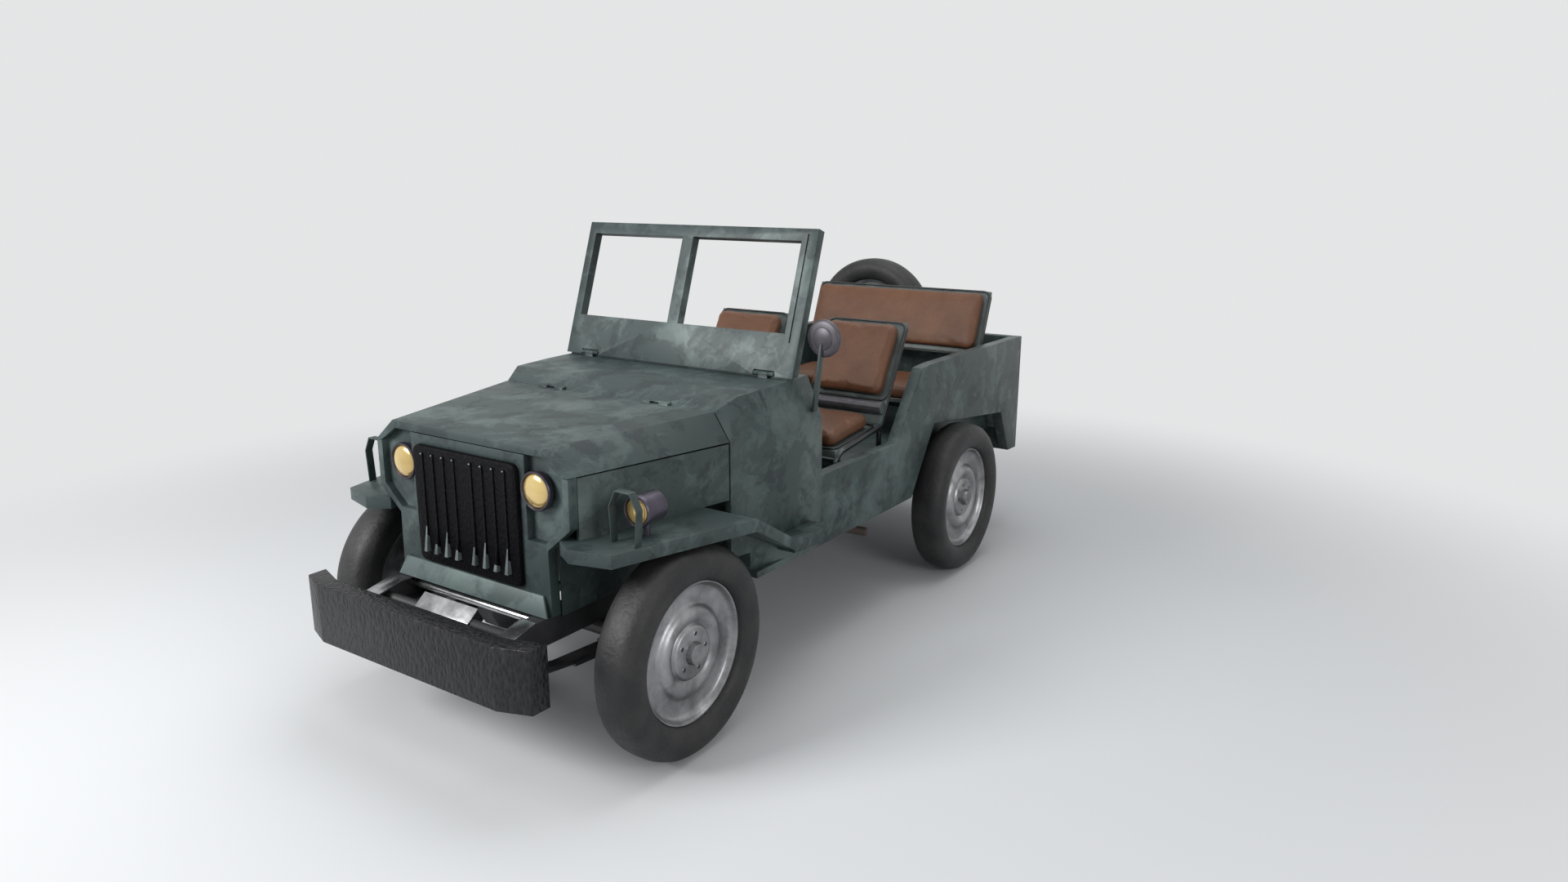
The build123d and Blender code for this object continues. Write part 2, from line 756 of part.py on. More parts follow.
def fender(side):
    """One front fender, on the left for side 1 and on the right for side -1."""
    low = fender_top - fender_thickness
    span_z([(side * x, y) for x, y in fender_plan], low, fender_top)
    with BuildSketch(Plane.XY.offset(low)) as hollow:
        Polygon(*[(side * x, at(y)) for x, y in fender_plan], align=None)
        offset(amount=-lip, kind=Kind.INTERSECTION, mode=Mode.REPLACE)
    extrude(hollow.sketch, amount=fender_thickness - lip, dir=(0, 0, 1), mode=Mode.SUBTRACT)
    rear = firewall_y - seat_gap
    block(side * inner_wall, side * (inner_wall + lip), fender_front + 0.7, rear, 482, fender_top)
    inner_edge = body_half - cowl_wall - 53
    block(side * inner_wall, side * inner_edge, fender_rear - lip, rear, fender_top - lip, fender_top)
    sections = []
    for y, inside, x_out, z in ramp_table:
        with BuildSketch(Plane((0, at(y), 0), x_dir=(1, 0, 0), z_dir=(0, -1, 0))) as section:
            edges = (body_half - inside, x_out)
            corners = [(x, z) for x in edges] + [(x, z - fender_thickness) for x in reversed(edges)]
            Polygon(*[(side * x, q) for x, q in corners], align=None)
        sections.append(section.sketch)
    loft(sections, ruled=True)
    span_z([(side * x, y) for x, y in step_plan], step_top - step_thickness, step_top)
    front_edge, rear_edge = (nose_half + 1, fender_front + 0.9), (body_half - 49, cowl_front - 6)
    panel = [front_edge, rear_edge] + [(x - sheet, y) for x, y in (rear_edge, front_edge)]
    span_z([(side * x, y) for x, y in panel], fender_top - 2, shoulder_z - 5)


with BuildPart() as fender_left:
    fender(1)
put(fender_left.part, "fender_left")

with BuildPart() as fender_right:
    fender(-1)
put(fender_right.part, "fender_right")

with BuildPart() as lamp_guards:
    for side in (1, -1):
        strap = [(side * x, z) for x, z in guard_outer + guard_inner]
        span_y(strap, small_y - 64, small_y - 36)
put(lamp_guards.part, "lamp_guards")

# Windshield frame: a leaning slab with two panes, a groove and its hinge barrels
lean = radians(screen_lean)
screen_out = Vector(0, -cos(lean), sin(lean))
screen_plane = Plane((0, at(screen_foot), screen_foot_z), x_dir=(1, 0, 0), z_dir=screen_out)
pane_height = pane_high - pane_low
panes = [(pane_right_edge, pane_bar_x - pane_bar / 2), (pane_bar_x + pane_bar / 2, pane_left_edge)]
groove_x = screen_half - 40
with BuildPart() as windshield:
    with BuildSketch(screen_plane):
        with Locations((0, screen_height / 2 - 15)):
            Rectangle(2 * screen_half, screen_height + 30)
        for left, right in panes:
            with Locations(((left + right) / 2, (pane_low + pane_high) / 2)):
                Rectangle(right - left, pane_height, mode=Mode.SUBTRACT)
    extrude(amount=-screen_thickness)
    below = (screen_foot - 60, screen_foot + 90, screen_low - 60, screen_low)
    block(-screen_half - 44, screen_half + 44, *below, mode=Mode.SUBTRACT)
    with BuildSketch(screen_plane):
        with Locations((groove_x, screen_height / 2 + 50)):
            Rectangle(6, screen_height - 140)
    extrude(amount=-5, mode=Mode.SUBTRACT)
    for x in (-430, 430):
        notch = (screen_foot - 20, screen_foot + 12, screen_low - 20, screen_foot_z + 12)
        block(x - 46, x + 46, *notch, mode=Mode.SUBTRACT)
        for start, end in ((x - 46, x - 20.4), (x + 20.4, x + 46)):
            bar((start, *screen_pivot), (end, *screen_pivot), barrel)
            block(start, end, screen_foot, screen_foot + 14, screen_foot_z - 4, screen_foot_z + 4)
put(windshield.part, "windshield")

# Steering column, pedals and levers
pedal_y = 530
lever_y = 900
lever_radius = 7
knob = [(-13, 9), (0, 17), (13, 9)]
with BuildPart() as driver_controls:
    bar(*column_ends, column_radius)
    bracket = (firewall_y + sheet + seat_gap, column_foot[0] + 16, 620, 660)
    block(column_x - 70, column_x + 150, *bracket)
    for x in (column_x - 50, column_x + 130):
        bar((x, column_foot[0] - 5, 640), (x, pedal_y, 560), lever_radius, 6)
        block(x - 30, x + 30, pedal_y - 4, pedal_y + 8, 530, 590)
    # X of each lever, with the length and height of its knob
    for x, y_top, z_top in ((0, 1000, 830), (-110, 1010, 700), (-160, 1010, 690)):
        bar((x, lever_y, floor_top + 5), (x, y_top, z_top), lever_radius, 6)
        bar((x, lever_y, floor_top + seat_gap), (x, lever_y, floor_top + 22), 20)
        ringed(knob, (x, y_top, z_top), (0, 0, 1), 8)
put(driver_controls.part, "driver_controls")

# Steering wheel, which turns on the column: the grip, three spokes and the hub
hub_height = 28
hub_half = 34
spoke_radius = 6
grip_low = 40
grip_sides = 20
turn_way = (spot(*column_ends[1]) - spot(*column_ends[0])).normalized()
wheel_plane = Plane(spot(*column_ends[1]), x_dir=(1, 0, 0), z_dir=turn_way)
with BuildPart() as steering_wheel:
    half, reach = wheel_grip * 0.87, wheel_grip / 2
    outer = [(-half, wheel_radius + reach), (0, wheel_radius + wheel_grip), (half, wheel_radius + reach)]
    inner = [(-half, wheel_radius - reach), (0, wheel_radius - wheel_grip), (half, wheel_radius - reach)]
    for line, mode in ((outer, Mode.ADD), (inner, Mode.SUBTRACT)):
        sections = [(grip_low + height, radius) for height, radius in line]
        ringed(sections, column_ends[1], turn_way, grip_sides, mode=mode)
    for turn in (90, 210, 330):
        ray = Vector(cos(radians(turn)), sin(radians(turn)), 0)
        start = wheel_plane.from_local_coords(ray * (hub_half - 14) + Vector(0, 0, hub_height - 6))
        end = wheel_plane.from_local_coords(ray * (wheel_radius - 4) + Vector(0, 0, grip_low))
        with BuildSketch(Plane(start, z_dir=end - start)) as spoke:
            RegularPolygon(spoke_radius, 6)
        extrude(spoke.sketch, amount=(end - start).length, dir=end - start)
    with BuildSketch(wheel_plane.offset(seat_gap)) as hub:
        Circle(hub_half)
    extrude(hub.sketch, amount=hub_height)
put(steering_wheel.part, "steering_wheel")

# Front seats: a bent shell with a roll across its bend, on a bent tube at each side
seat_front = floor_step - seat_ahead
seat_low = floor_top + seat_rise
seat_middle = inner_half - seat_margin - seat_half
pad_inset = 8
side_tube = 9
tube_sides = 6


def seat_points(points):
    """Points of a seat's side, given from its front edge and its shell's underside."""
    return [(seat_front + y, seat_low + z) for y, z in points]


shell_line = seat_points([(0, 0), (0, 30), (380, 70), (602, 477), (614, 471), (392, 47), (20, 0)])
cushion_line = seat_points([(6, 31), (335, 65.7), (295, 127), (6, 95)])
back_line = seat_points([(431, 164), (596, 467), (535, 475), (380, 195)])
roll_spot = seat_points([(393, 137)])[0]
leg_line = seat_points([(378, 62), (45, 20), (2, -16), (-10, seat_gap + 1 - seat_rise)])
rear_leg = seat_points([(360, 45), (360, seat_gap - seat_rise)])
with BuildPart() as seat_frames:
    for side in (1, -1):
        x_from, x_to = side * seat_middle - seat_half, side * seat_middle + seat_half
        span_x(shell_line, x_from, x_to)
        bar((x_from, *roll_spot), (x_to, *roll_spot), 26, 12)
        for x in (x_from - 2, x_to + 2):
            tube([(x, *point) for point in leg_line], side_tube, tube_sides)
            bar((x, *rear_leg[0]), (x, *rear_leg[1]), side_tube, tube_sides)
            runner = (leg_line[-1][0] - 14, rear_leg[0][0] + 14, floor_top + seat_gap, floor_top + 14)
            block(x - 12, x + 12, *runner)
put(seat_frames.part, "seat_frames")

for name, side in (("driver", 1), ("passenger", -1)):
    pad = (side * seat_middle - seat_half + pad_inset, side * seat_middle + seat_half - pad_inset)
    with BuildPart() as seat_cushion:
        span_x(cushion_line, *pad)
    put(seat_cushion.part, f"{name}_cushion")
    with BuildPart() as seat_back:
        span_x(back_line, *pad)
    put(seat_back.part, f"{name}_back")

# Rear bench: a shell for the back on two posts, and a seat plate on legs
bench_front = body_rear - bench_ahead
bench_plate = 12


def bench_points(points):
    """Points of the bench's side, given from its front edge and its plate's underside."""
    return [(bench_front + y, bench_seat_z + z) for y, z in points]


bench_line = bench_points([(425, 194), (547, 504), (561, 498), (441, 189)])
bench_cushion_line = bench_points([(0, bench_plate + 0.4), (410, bench_plate + 0.4), (410, 84), (0, 94)])
bench_back_line = bench_points([(428.5, 204), (544.6, 499), (485, 505), (373, 227)])
post_y = bench_front + 435
leg_y = bench_front + 65
rung_z = bench_seat_z - 14
bench_x = bench_half - 120
with BuildPart() as bench_frame:
    span_x(bench_line, -bench_half, bench_half)
    for x in (-bench_x, bench_x):
        bar((x, post_y, rear_floor + seat_gap), (x, post_y, bench_seat_z + 196), 9)
        bar((x, leg_y, rear_floor + seat_gap), (x, leg_y, bench_seat_z + 5), 12)
        bar((x, leg_y, rung_z), (x, post_y, rung_z), 7)
    plate = (bench_front + 5, bench_front + 415, bench_seat_z, bench_seat_z + bench_plate)
    block(60 - bench_half, bench_half - 60, *plate)
put(bench_frame.part, "bench_frame")

with BuildPart() as bench_cushion:
    span_x(bench_cushion_line, 20 - bench_half, bench_half - 20)
put(bench_cushion.part, "bench_cushion")

with BuildPart() as bench_back:
    span_x(bench_back_line, pad_inset - bench_half, bench_half - pad_inset)
put(bench_back.part, "bench_back")

# Mirror: a round head on a flat strap, bolted to the cowl's left side
mirror_y = 800
mirror_foot_z = 988
mirror_z = 1233
mirror_radius = 68
strap_half = 14
cowl_side_x = body_half - cowl_lean * (mirror_foot_z - shoulder_z)
side_way = Vector(1, 0, cowl_lean).normalized()
with BuildPart() as mirror:
    foot = Vector(cowl_side_x, mirror_y, mirror_foot_z)
    bar(tuple(foot + side_way * seat_gap), tuple(foot + side_way * 20), strap_half)
    strap = [
        (cowl_side_x + 8, mirror_foot_z - 12),
        (cowl_side_x + 20, mirror_foot_z - 18),
        (cowl_side_x + 50, mirror_z - 20),
        (cowl_side_x + 26, mirror_z - 20),
    ]
    span_y(strap, mirror_y - 3, mirror_y + 4)
    head = Vector(cowl_side_x + 32, mirror_y - 4, mirror_z)
    facing = Vector(12, 24, 0).normalized()
    bar(tuple(head), tuple(head + facing * 26), mirror_radius, 16)
    bar(tuple(head - facing * 4), tuple(head + facing), mirror_radius - 26, 16)
put(mirror.part, "mirror")

# Rear end: bumperettes, tow hook and tail lamps
with BuildPart() as rear_bumpers:
    for side in (1, -1):
        block(side * 200, side * 470, body_rear + seat_gap, body_rear + 42, 445, 520)
        block(side * 290, side * 340, frame_rear, body_rear + seat_gap, 460, 505)
put(rear_bumpers.part, "rear_bumpers")

tow_z = 500
tow_back = 62
ring_bore = 25
ring_thickness = 24
with BuildPart() as tow_hook:
    block(-60, 60, frame_rear + seat_gap, frame_rear + 12, tow_z - 50, tow_z + 40)
    bar((0, frame_rear + 12, tow_z), (0, body_rear + tow_back - 35, tow_z), 20)
    ring = [(0, body_rear + tow_back, tow_z + way * ring_thickness / 2) for way in (-1, 1)]
    bar(*ring, ring_bore + 20, joint_sides)
    rod(*ring, ring_bore, mode=Mode.SUBTRACT)
put(tow_hook.part, "tow_hook")

lamp_out = body_half - 88
with BuildPart() as tail_lamps:
    for x in (-lamp_out, lamp_out):
        bar((x, body_rear + seat_gap, 640), (x, body_rear + 34, 640), 40, joint_sides)
put(tail_lamps.part, "tail_lamps")

# Wheels: the tyre with its rounded shoulders, and the pressed disc with its hub
half_width = tyre_width / 2
# share of the tyre's half width, and how far below the tread, from side to middle
crown = [(1.0, 54), (0.9, 22), (0.5, 0)]
tyre_outer = [(-half_width * share, tyre_radius - drop) for share, drop in crown]
tyre_outer += [(-offset_along, radius) for offset_along, radius in reversed(tyre_outer)]
ring_inner = tyre_radius - crown[0][1] - tyre_ring
tyre_inner = [(-half_width, ring_inner), (-bead, rim_radius), (bead, rim_radius), (half_width, ring_inner)]
rim_out = bead + 4
rim_edge = rim_radius - 10
well = rim_radius - 44


def make_tyre(middle, axis):
    """A tyre as a many-sided ring with a recess in each side."""
    ringed(tyre_outer, middle, axis, wheel_sides)
    ringed(tyre_inner, middle, axis, wheel_sides, mode=Mode.SUBTRACT)


def make_disc(middle, axis):
    """The rim, the pressed web with its raised ridge, and the hub."""
    ringed([(-bead, rim_radius - seat_gap), (rim_out, rim_radius - seat_gap)], middle, axis, wheel_sides)
    ringed([(web_front, well), (rim_out, rim_edge)], middle, axis, wheel_sides, mode=Mode.SUBTRACT)
    ringed([(-bead, rim_edge), (web_back, well)], middle, axis, wheel_sides, mode=Mode.SUBTRACT)
    ringed([(web_front, well - 6), (dome_face, dome_radius)], middle, axis, disc_sides)
    ringed([(web_front, hub_foot), (dome_face, dome_radius - 6)], middle, axis, disc_sides, mode=Mode.SUBTRACT)
    ringed([(web_front, hub_foot), (hub_base, hub_foot - 24)], middle, axis, disc_sides)
    ringed([(hub_base, hub_radius), (hub_reach, hub_radius - 4)], middle, axis, disc_sides)


# name, X of the wheel, length along the car and the way its face points
wheel_table = [
    ("front_left", half_track, 0, 1),
    ("front_right", -half_track, 0, -1),
    ("rear_left", half_track, wheelbase, 1),
    ("rear_right", -half_track, wheelbase, -1),
]
plate_gap = 2
for name, x, y, face in wheel_table:
    middle = (x, y, tyre_radius)
    with BuildPart() as tyre:
        make_tyre(middle, (face, 0, 0))
    put(tyre.part, f"tyre_{name}")
    with BuildPart() as wheel_disc:
        make_disc(middle, (face, 0, 0))
        drum = [(plate_gap - drum_inset, drum_radius), (web_back, drum_radius)]
        ringed(drum, middle, (face, 0, 0), disc_sides)
        bore = [(x + face * reach, y, tyre_radius) for reach in (plate_gap - drum_inset, bore_reach)]
        bar(*bore, spindle_radius + running_gap, 16, mode=Mode.SUBTRACT)
    put(wheel_disc.part, f"wheel_{name}")

# Spare wheel behind the rear panel, on a bracket that reaches into its disc
spare_middle = (spare_x, spare_front + half_width, spare_z)
with BuildPart() as tyre_spare:
    make_tyre(spare_middle, (0, 1, 0))
put(tyre_spare.part, "tyre_spare")

with BuildPart() as wheel_spare:
    make_disc(spare_middle, (0, 1, 0))
put(wheel_spare.part, "wheel_spare")

with BuildPart() as spare_carrier:
    plate = (body_rear + seat_gap, body_rear + 12, spare_z - 198, spare_z - 13)
    block(spare_x - 90, spare_x + 90, *plate)
    arm_end = spare_middle[1] + web_back - seat_gap
    arm = [
        (body_rear + seat_gap, spare_z - 178),
        (body_rear + 22, spare_z - 178),
        (arm_end, spare_z - 33),
        (arm_end, spare_z + 32),
        (body_rear + 42, spare_z + 32),
        (body_rear + seat_gap, spare_z - 58),
    ]
    span_x(arm, spare_x - 26, spare_x + 26)
put(spare_carrier.part, "spare_carrier")

# Steering knuckles: a cup over the axle's ball, spindle, plate and steering arm
cup_outer = ball_sections(cup_radius + cup_wall, (-cup_rear_angle, 18, 45, 72))
cup_inner = ball_sections(cup_radius, (-cup_rear_angle - 3, 17, 46, 75))


def knuckle(side):
    """A knuckle that turns about the upright kingpin axis, on one side."""
    x = side * kingpin_x
    centre = (x, 0, tyre_radius)
    ringed(cup_outer, centre, (side, 0, 0), joint_sides)
    ringed(cup_inner, centre, (side, 0, 0), joint_sides, mode=Mode.SUBTRACT)
    ball_top = ball_sections(ball_radius, ball_angles)[2][1]
    near, far = ball_top + running_gap, cup_radius + pin_gap
    rod((x, 0, tyre_radius + near), (x, 0, tyre_radius + far), kingpin_radius)
    bar((x, 0, tyre_radius - near), (x, 0, tyre_radius - far), kingpin_radius)
    backing_plate(side, 0)
    block(x - arm_width / 2, x + arm_width / 2, cup_radius + 2, arm_back, arm_low, arm_high)
    bar((x, arm_back, arm_low), (x, arm_back, arm_high), eye_radius)
    eye = [(x, arm_back, arm_low - 5), (x, arm_back, arm_high + 5)]
    bar(*eye, pin_radius + running_gap, 12, mode=Mode.SUBTRACT)


with BuildPart() as knuckle_left:
    knuckle(1)
put(knuckle_left.part, "knuckle_left")

with BuildPart() as knuckle_right:
    knuckle(-1)
put(knuckle_right.part, "knuckle_right")

# Tie rod: the tube between the two steering arms, with its end pins
tie_z = arm_high + 13
with BuildPart() as tie_rod:
    bar((-kingpin_x, arm_back, tie_z), (kingpin_x, arm_back, tie_z), tie_rod_radius)
    for x in (kingpin_x, -kingpin_x):
        socket_low = arm_high + seat_gap
        bar((x, arm_back, socket_low), (x, arm_back, tie_z + tie_rod_radius), tie_socket)
        rod((x, arm_back, arm_low), (x, arm_back, socket_low), pin_radius)
put(tie_rod.part, "tie_rod")
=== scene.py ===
import bpy
import bmesh
from math import cos, pi, radians, sin
from mathutils import Matrix, Vector, noise


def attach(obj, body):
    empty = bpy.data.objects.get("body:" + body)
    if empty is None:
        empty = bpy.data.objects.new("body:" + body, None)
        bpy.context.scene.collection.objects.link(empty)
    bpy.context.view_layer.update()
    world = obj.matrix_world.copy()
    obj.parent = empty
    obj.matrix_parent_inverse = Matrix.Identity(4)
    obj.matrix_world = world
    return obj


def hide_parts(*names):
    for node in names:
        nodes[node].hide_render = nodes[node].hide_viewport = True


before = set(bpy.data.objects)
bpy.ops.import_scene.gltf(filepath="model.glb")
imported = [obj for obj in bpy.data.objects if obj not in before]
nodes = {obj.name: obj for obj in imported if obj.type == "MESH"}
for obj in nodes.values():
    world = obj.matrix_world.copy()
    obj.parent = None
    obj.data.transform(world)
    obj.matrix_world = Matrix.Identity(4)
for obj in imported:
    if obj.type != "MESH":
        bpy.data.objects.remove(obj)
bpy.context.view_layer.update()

# The car stands on z = 0 and faces minus Y. Metres. Lengths along the car are
# measured from the front axle, as in the part's source.
AXLE_Y = -1.2085
WHEELBASE = 2.032
AXLE_Z = 0.346
HALF_TRACK = 0.6225
ACROSS = Vector((1, 0, 0))


def at(x, length, z):
    """A point given by X, length behind the front axle, and height."""
    return Vector((x, length + AXLE_Y, z))


# Materials -------------------------------------------------------------------
class Value:
    """An output socket that takes part in plain sums."""

    def __init__(self, finish, socket):
        self.finish, self.socket = finish, socket

    def maths(self, operation, first, second):
        return self.finish.add("ShaderNodeMath", {"operation": operation}, first, second)

    def __add__(self, other):
        return self.maths("ADD", self, other)

    def __radd__(self, other):
        return self.maths("ADD", other, self)

    def __sub__(self, other):
        return self.maths("SUBTRACT", self, other)

    def __rsub__(self, other):
        return self.maths("SUBTRACT", other, self)

    def __mul__(self, other):
        return self.maths("MULTIPLY", self, other)

    def __rmul__(self, other):
        return self.maths("MULTIPLY", other, self)


class Finish:
    """A material whose nodes are added by plain calls."""

    def __init__(self, name, colour=(0.5, 0.5, 0.5), **constants):
        self.material = bpy.data.materials.new(name)
        self.material.use_nodes = True
        self.tree = self.material.node_tree
        self.shader = self.tree.nodes["Principled BSDF"]
        self.shader.inputs["Base Color"].default_value = (*colour, 1)
        self.material.diffuse_color = (*colour, 1)
        for key, value in constants.items():
            self.shader.inputs[key.replace("_", " ")].default_value = value
        self.place = self.add("ShaderNodeTexCoord", out="Object")

    def add(self, kind, settings=None, *values, out=0, **named):
        node = self.tree.nodes.new(kind)
        for key, value in (settings or {}).items():
            setattr(node, key, value)
        inputs = dict(enumerate(values))
        inputs.update((key.replace("_", " "), value) for key, value in named.items())
        for key, value in inputs.items():
            if value is None:
                continue
            if isinstance(value, Value):
                self.tree.links.new(value.socket, node.inputs[key])
            else:
                node.inputs[key].default_value = value
        return Value(self, node.outputs[out])

    def maximum(self, first, second):
        return self.add("ShaderNodeMath", {"operation": "MAXIMUM"}, first, second)

    def ramp(self, value, *stops):
        """A colour ramp of (position, colour or grey) stops."""
        node = self.tree.nodes.new("ShaderNodeValToRGB")
        marks = node.color_ramp.elements
        while len(marks) < len(stops):
            marks.new(0.5)
        for mark, (position, colour) in zip(marks, stops):
            mark.position = position
            mark.color = (*colour, 1) if isinstance(colour, tuple) else (colour, colour, colour, 1)
        self.tree.links.new(value.socket, node.inputs[0])
        return Value(self, node.outputs[0])

    def cloud(self, scale, detail=4.0, roughness=0.5, distortion=0.0, place=None):
        """Soft noise between 0 and 1, in Object coordinates."""
        return self.add("ShaderNodeTexNoise", None, Vector=place or self.place, Scale=scale,
                        Detail=detail, Roughness=roughness, Distortion=distortion)

    def stretched(self, x, y, z):
        """The Object coordinates scaled by a factor along each axis."""
        return self.add("ShaderNodeMapping", None, self.place, Scale=(x, y, z))

    def blend(self, factor, first, second):
        """A mix of two colours, which the mix node takes at its seventh and eighth sockets."""
        unused = [None] * 5
        return self.add("ShaderNodeMix", {"data_type": "RGBA"}, factor, *unused, first, second, out=2)

    def feed(self, **links):
        for key, value in links.items():
            self.tree.links.new(value.socket, self.shader.inputs[key.replace("_", " ")])

    def bump(self, height, strength, distance=0.001):
        self.feed(Normal=self.add("ShaderNodeBump", None, Strength=strength, Distance=distance,
                                  Height=height))


def camouflage(name, dark, middle, pale, roughness=0.5):
    """Dark blue-green paint with torn paler and darker blotches."""
    paint = Finish(name, middle, Specular_IOR_Level=0.38, Metallic=0.12, Coat_Weight=0.08,
                   Coat_Roughness=0.3)
    warp = paint.cloud(9.0, 3.0, 0.6)
    moved = paint.add("ShaderNodeVectorMath", {"operation": "MULTIPLY_ADD"}, warp, (0.16, 0.16, 0.16),
                      paint.place)
    large = paint.cloud(5.2, 5.0, 0.62, 0.35, moved)
    small = paint.cloud(16.0, 4.0, 0.6, 0.5, moved)
    pale_spots = paint.ramp(large * 0.72 + small * 0.28, (0.50, 0.0), (0.545, 0.45), (0.63, 1.0))
    elsewhere = paint.add("ShaderNodeMapping", None, moved, Location=(3.1, 7.7, 1.9))
    other = paint.cloud(6.4, 5.0, 0.62, 0.3, elsewhere)
    dark_spots = paint.ramp(other * 0.72 + small * 0.28, (0.50, 0.0), (0.55, 1.0))
    streaks = paint.cloud(7.0, 4.0, 0.6, 0.0, paint.stretched(4.0, 4.0, 0.5))
    colour = paint.blend(dark_spots, (*middle, 1), (*dark, 1))
    colour = paint.blend(pale_spots * 0.8, colour, (*pale, 1))
    colour = paint.blend(streaks * 0.25, colour, (*dark, 1))
    paint.feed(Base_Color=colour, Roughness=roughness - 0.08 * pale_spots + 0.1 * (small - 0.5))
    paint.bump(small * 0.7 + large * 0.3, 0.12, 0.0012)
    return paint.material


def painted(name, colour, roughness=0.5, metallic=0.0, grain=120.0, depth=0.08, spread=0.35):
    """Plain paint or metal, a little uneven in colour and sheen."""
    paint = Finish(name, colour, Metallic=metallic)
    worn = paint.cloud(14.0, 5.0, 0.6)
    low = tuple(c * (1 - spread) for c in colour)
    high = tuple(min(1.0, c * (1 + spread)) for c in colour)
    paint.feed(Base_Color=paint.ramp(worn, (0.35, low), (0.65, high)),
               Roughness=roughness - 0.06 + 0.14 * worn)
    paint.bump(paint.cloud(grain, 3.0, 0.6), depth, 0.0008)
    return paint.material


def wrinkled(name, colour, scale, depth, roughness, pale=None, shine=0.3):
    """A surface of small wrinkles, for the bumper's coating and the grille, with painted shade in the
    wrinkles' hollows and a painted highlight on their crests.
    """
    coat = Finish(name, colour, Specular_IOR_Level=shine)
    moved = coat.stretched(1.0, 1.0, 0.55)
    cells = coat.add("ShaderNodeTexVoronoi", {"feature": "SMOOTH_F1"}, Vector=moved, Scale=scale,
                     Smoothness=0.6)
    folds = cells * 0.6 + 0.4 * coat.cloud(scale * 0.8, 3.0, 0.6, 1.2, moved)
    low = tuple(c * 0.5 for c in colour)
    # the colour follows the wrinkles' height: painted shade darkens their hollows to half the colour, and
    # a painted highlight lifts their crests to the pale colour
    coat.feed(Base_Color=coat.ramp(folds, (0.25, low), (0.7, pale or colour)),
              Roughness=roughness + 0.2 * (folds - 0.5))
    coat.bump(folds, depth, 0.005)
    return coat.material


def pressed_steel(name):
    """Bare pressed steel, brushed lightly and stained."""
    steel = Finish(name, (0.27, 0.275, 0.28), Metallic=0.92)
    stain = steel.cloud(11.0, 5.0, 0.6, 0.4)
    fine = steel.cloud(160.0, 2.0, 0.5)
    steel.feed(Base_Color=steel.ramp(stain, (0.3, (0.16, 0.162, 0.168)), (0.62, (0.34, 0.345, 0.355))),
               Roughness=0.24 + 0.16 * stain + 0.05 * fine)
    steel.bump(stain * 0.8 + fine * 0.2, 0.08, 0.001)
    return steel.material


def tyre_rubber(name):
    """Grey-black rubber with a fine pebbled surface and a dusty tread."""
    rubber = Finish(name, (0.02, 0.02, 0.021), Specular_IOR_Level=0.38)
    pebble = rubber.cloud(75.0, 4.0, 0.65, 0.3)
    waves = rubber.cloud(18.0, 3.0, 0.5)
    dust = rubber.ramp(rubber.cloud(7.0, 5.0, 0.6), (0.4, (0.014, 0.014, 0.015)),
                       (0.7, (0.034, 0.033, 0.032)))
    rubber.feed(Base_Color=dust, Roughness=0.52 + 0.2 * (pebble - 0.5))
    rubber.bump(pebble * 0.6 + waves * 0.4, 0.6, 0.006)
    return rubber.material


def brown_hide(name):
    """Brown leather with fine creases that run every way, painted shade in the creases, and paler wear.
    """
    hide = Finish(name, (0.13, 0.055, 0.026), Specular_IOR_Level=0.34)
    worn = hide.cloud(5.0, 5.0, 0.6)
    crease = hide.add("ShaderNodeTexVoronoi", {"feature": "DISTANCE_TO_EDGE"}, Vector=hide.place,
                      Scale=150.0)
    lines = hide.ramp(crease, (0.0, 0.0), (0.12, 1.0))
    folds = hide.cloud(32.0, 4.0, 0.6, 2.2, hide.stretched(1.0, 2.2, 2.2))
    base = hide.ramp(worn, (0.3, (0.100, 0.040, 0.019)), (0.7, (0.165, 0.072, 0.034)))
    # painted shade: the creases, which the bump sinks, are darkened towards near black
    dark = hide.blend(0.35 * (1 - lines), base, (0.035, 0.016, 0.010, 1))
    hide.feed(Base_Color=dark, Roughness=0.36 + 0.18 * folds)
    hide.bump(lines * 0.35 + folds * 0.65, 0.35, 0.0022)
    return hide.material


def amber(name):
    """The domed amber glass of a lamp, over a bright reflector."""
    glass = Finish(name, (0.62, 0.43, 0.13), Roughness=0.16, Coat_Weight=1.0, Coat_Roughness=0.05,
                   Metallic=0.55)
    ribs = glass.add("ShaderNodeTexWave", {"bands_direction": "X"}, Vector=glass.place, Scale=38.0,
                     Distortion=0.4)
    tone = glass.ramp(glass.cloud(6.0, 2.0, 0.5), (0.3, (0.45, 0.30, 0.08)),
                      (0.7, (0.80, 0.60, 0.24)))
    glass.feed(Base_Color=tone)
    glass.bump(ribs, 0.08, 0.001)
    return glass.material


# The finishes; a camouflage takes its dark, middle and pale colour
PAINT = camouflage("camouflage_paint", (0.022, 0.033, 0.034), (0.038, 0.056, 0.055),
                   (0.095, 0.135, 0.128))
# the front apron's paint is a paler copy of the body's camouflage: painted light, for the light that
# falls on the apron's slope
LIT_APRON_PAINT = camouflage("apron_painted_light", (0.060, 0.084, 0.082), (0.095, 0.130, 0.126), (0.160, 0.210, 0.200))
PAINT_PLAIN = camouflage("shaded_paint", (0.026, 0.037, 0.037), (0.043, 0.060, 0.059),
                         (0.062, 0.084, 0.081))
CHASSIS = painted("dark_chassis", (0.022, 0.022, 0.024), 0.5, 0.0, 90.0, 0.12)
CAST = painted("cast_grey", (0.10, 0.105, 0.105), 0.6, 0.3, 60.0, 0.3)
PIPE = painted("burnt_pipe", (0.09, 0.07, 0.06), 0.6, 0.4, 60.0, 0.25)
STEEL = pressed_steel("pressed_steel")
BRIGHT = painted("bright_steel", (0.42, 0.425, 0.43), 0.24, 0.95, 40.0, 0.25, 0.35)
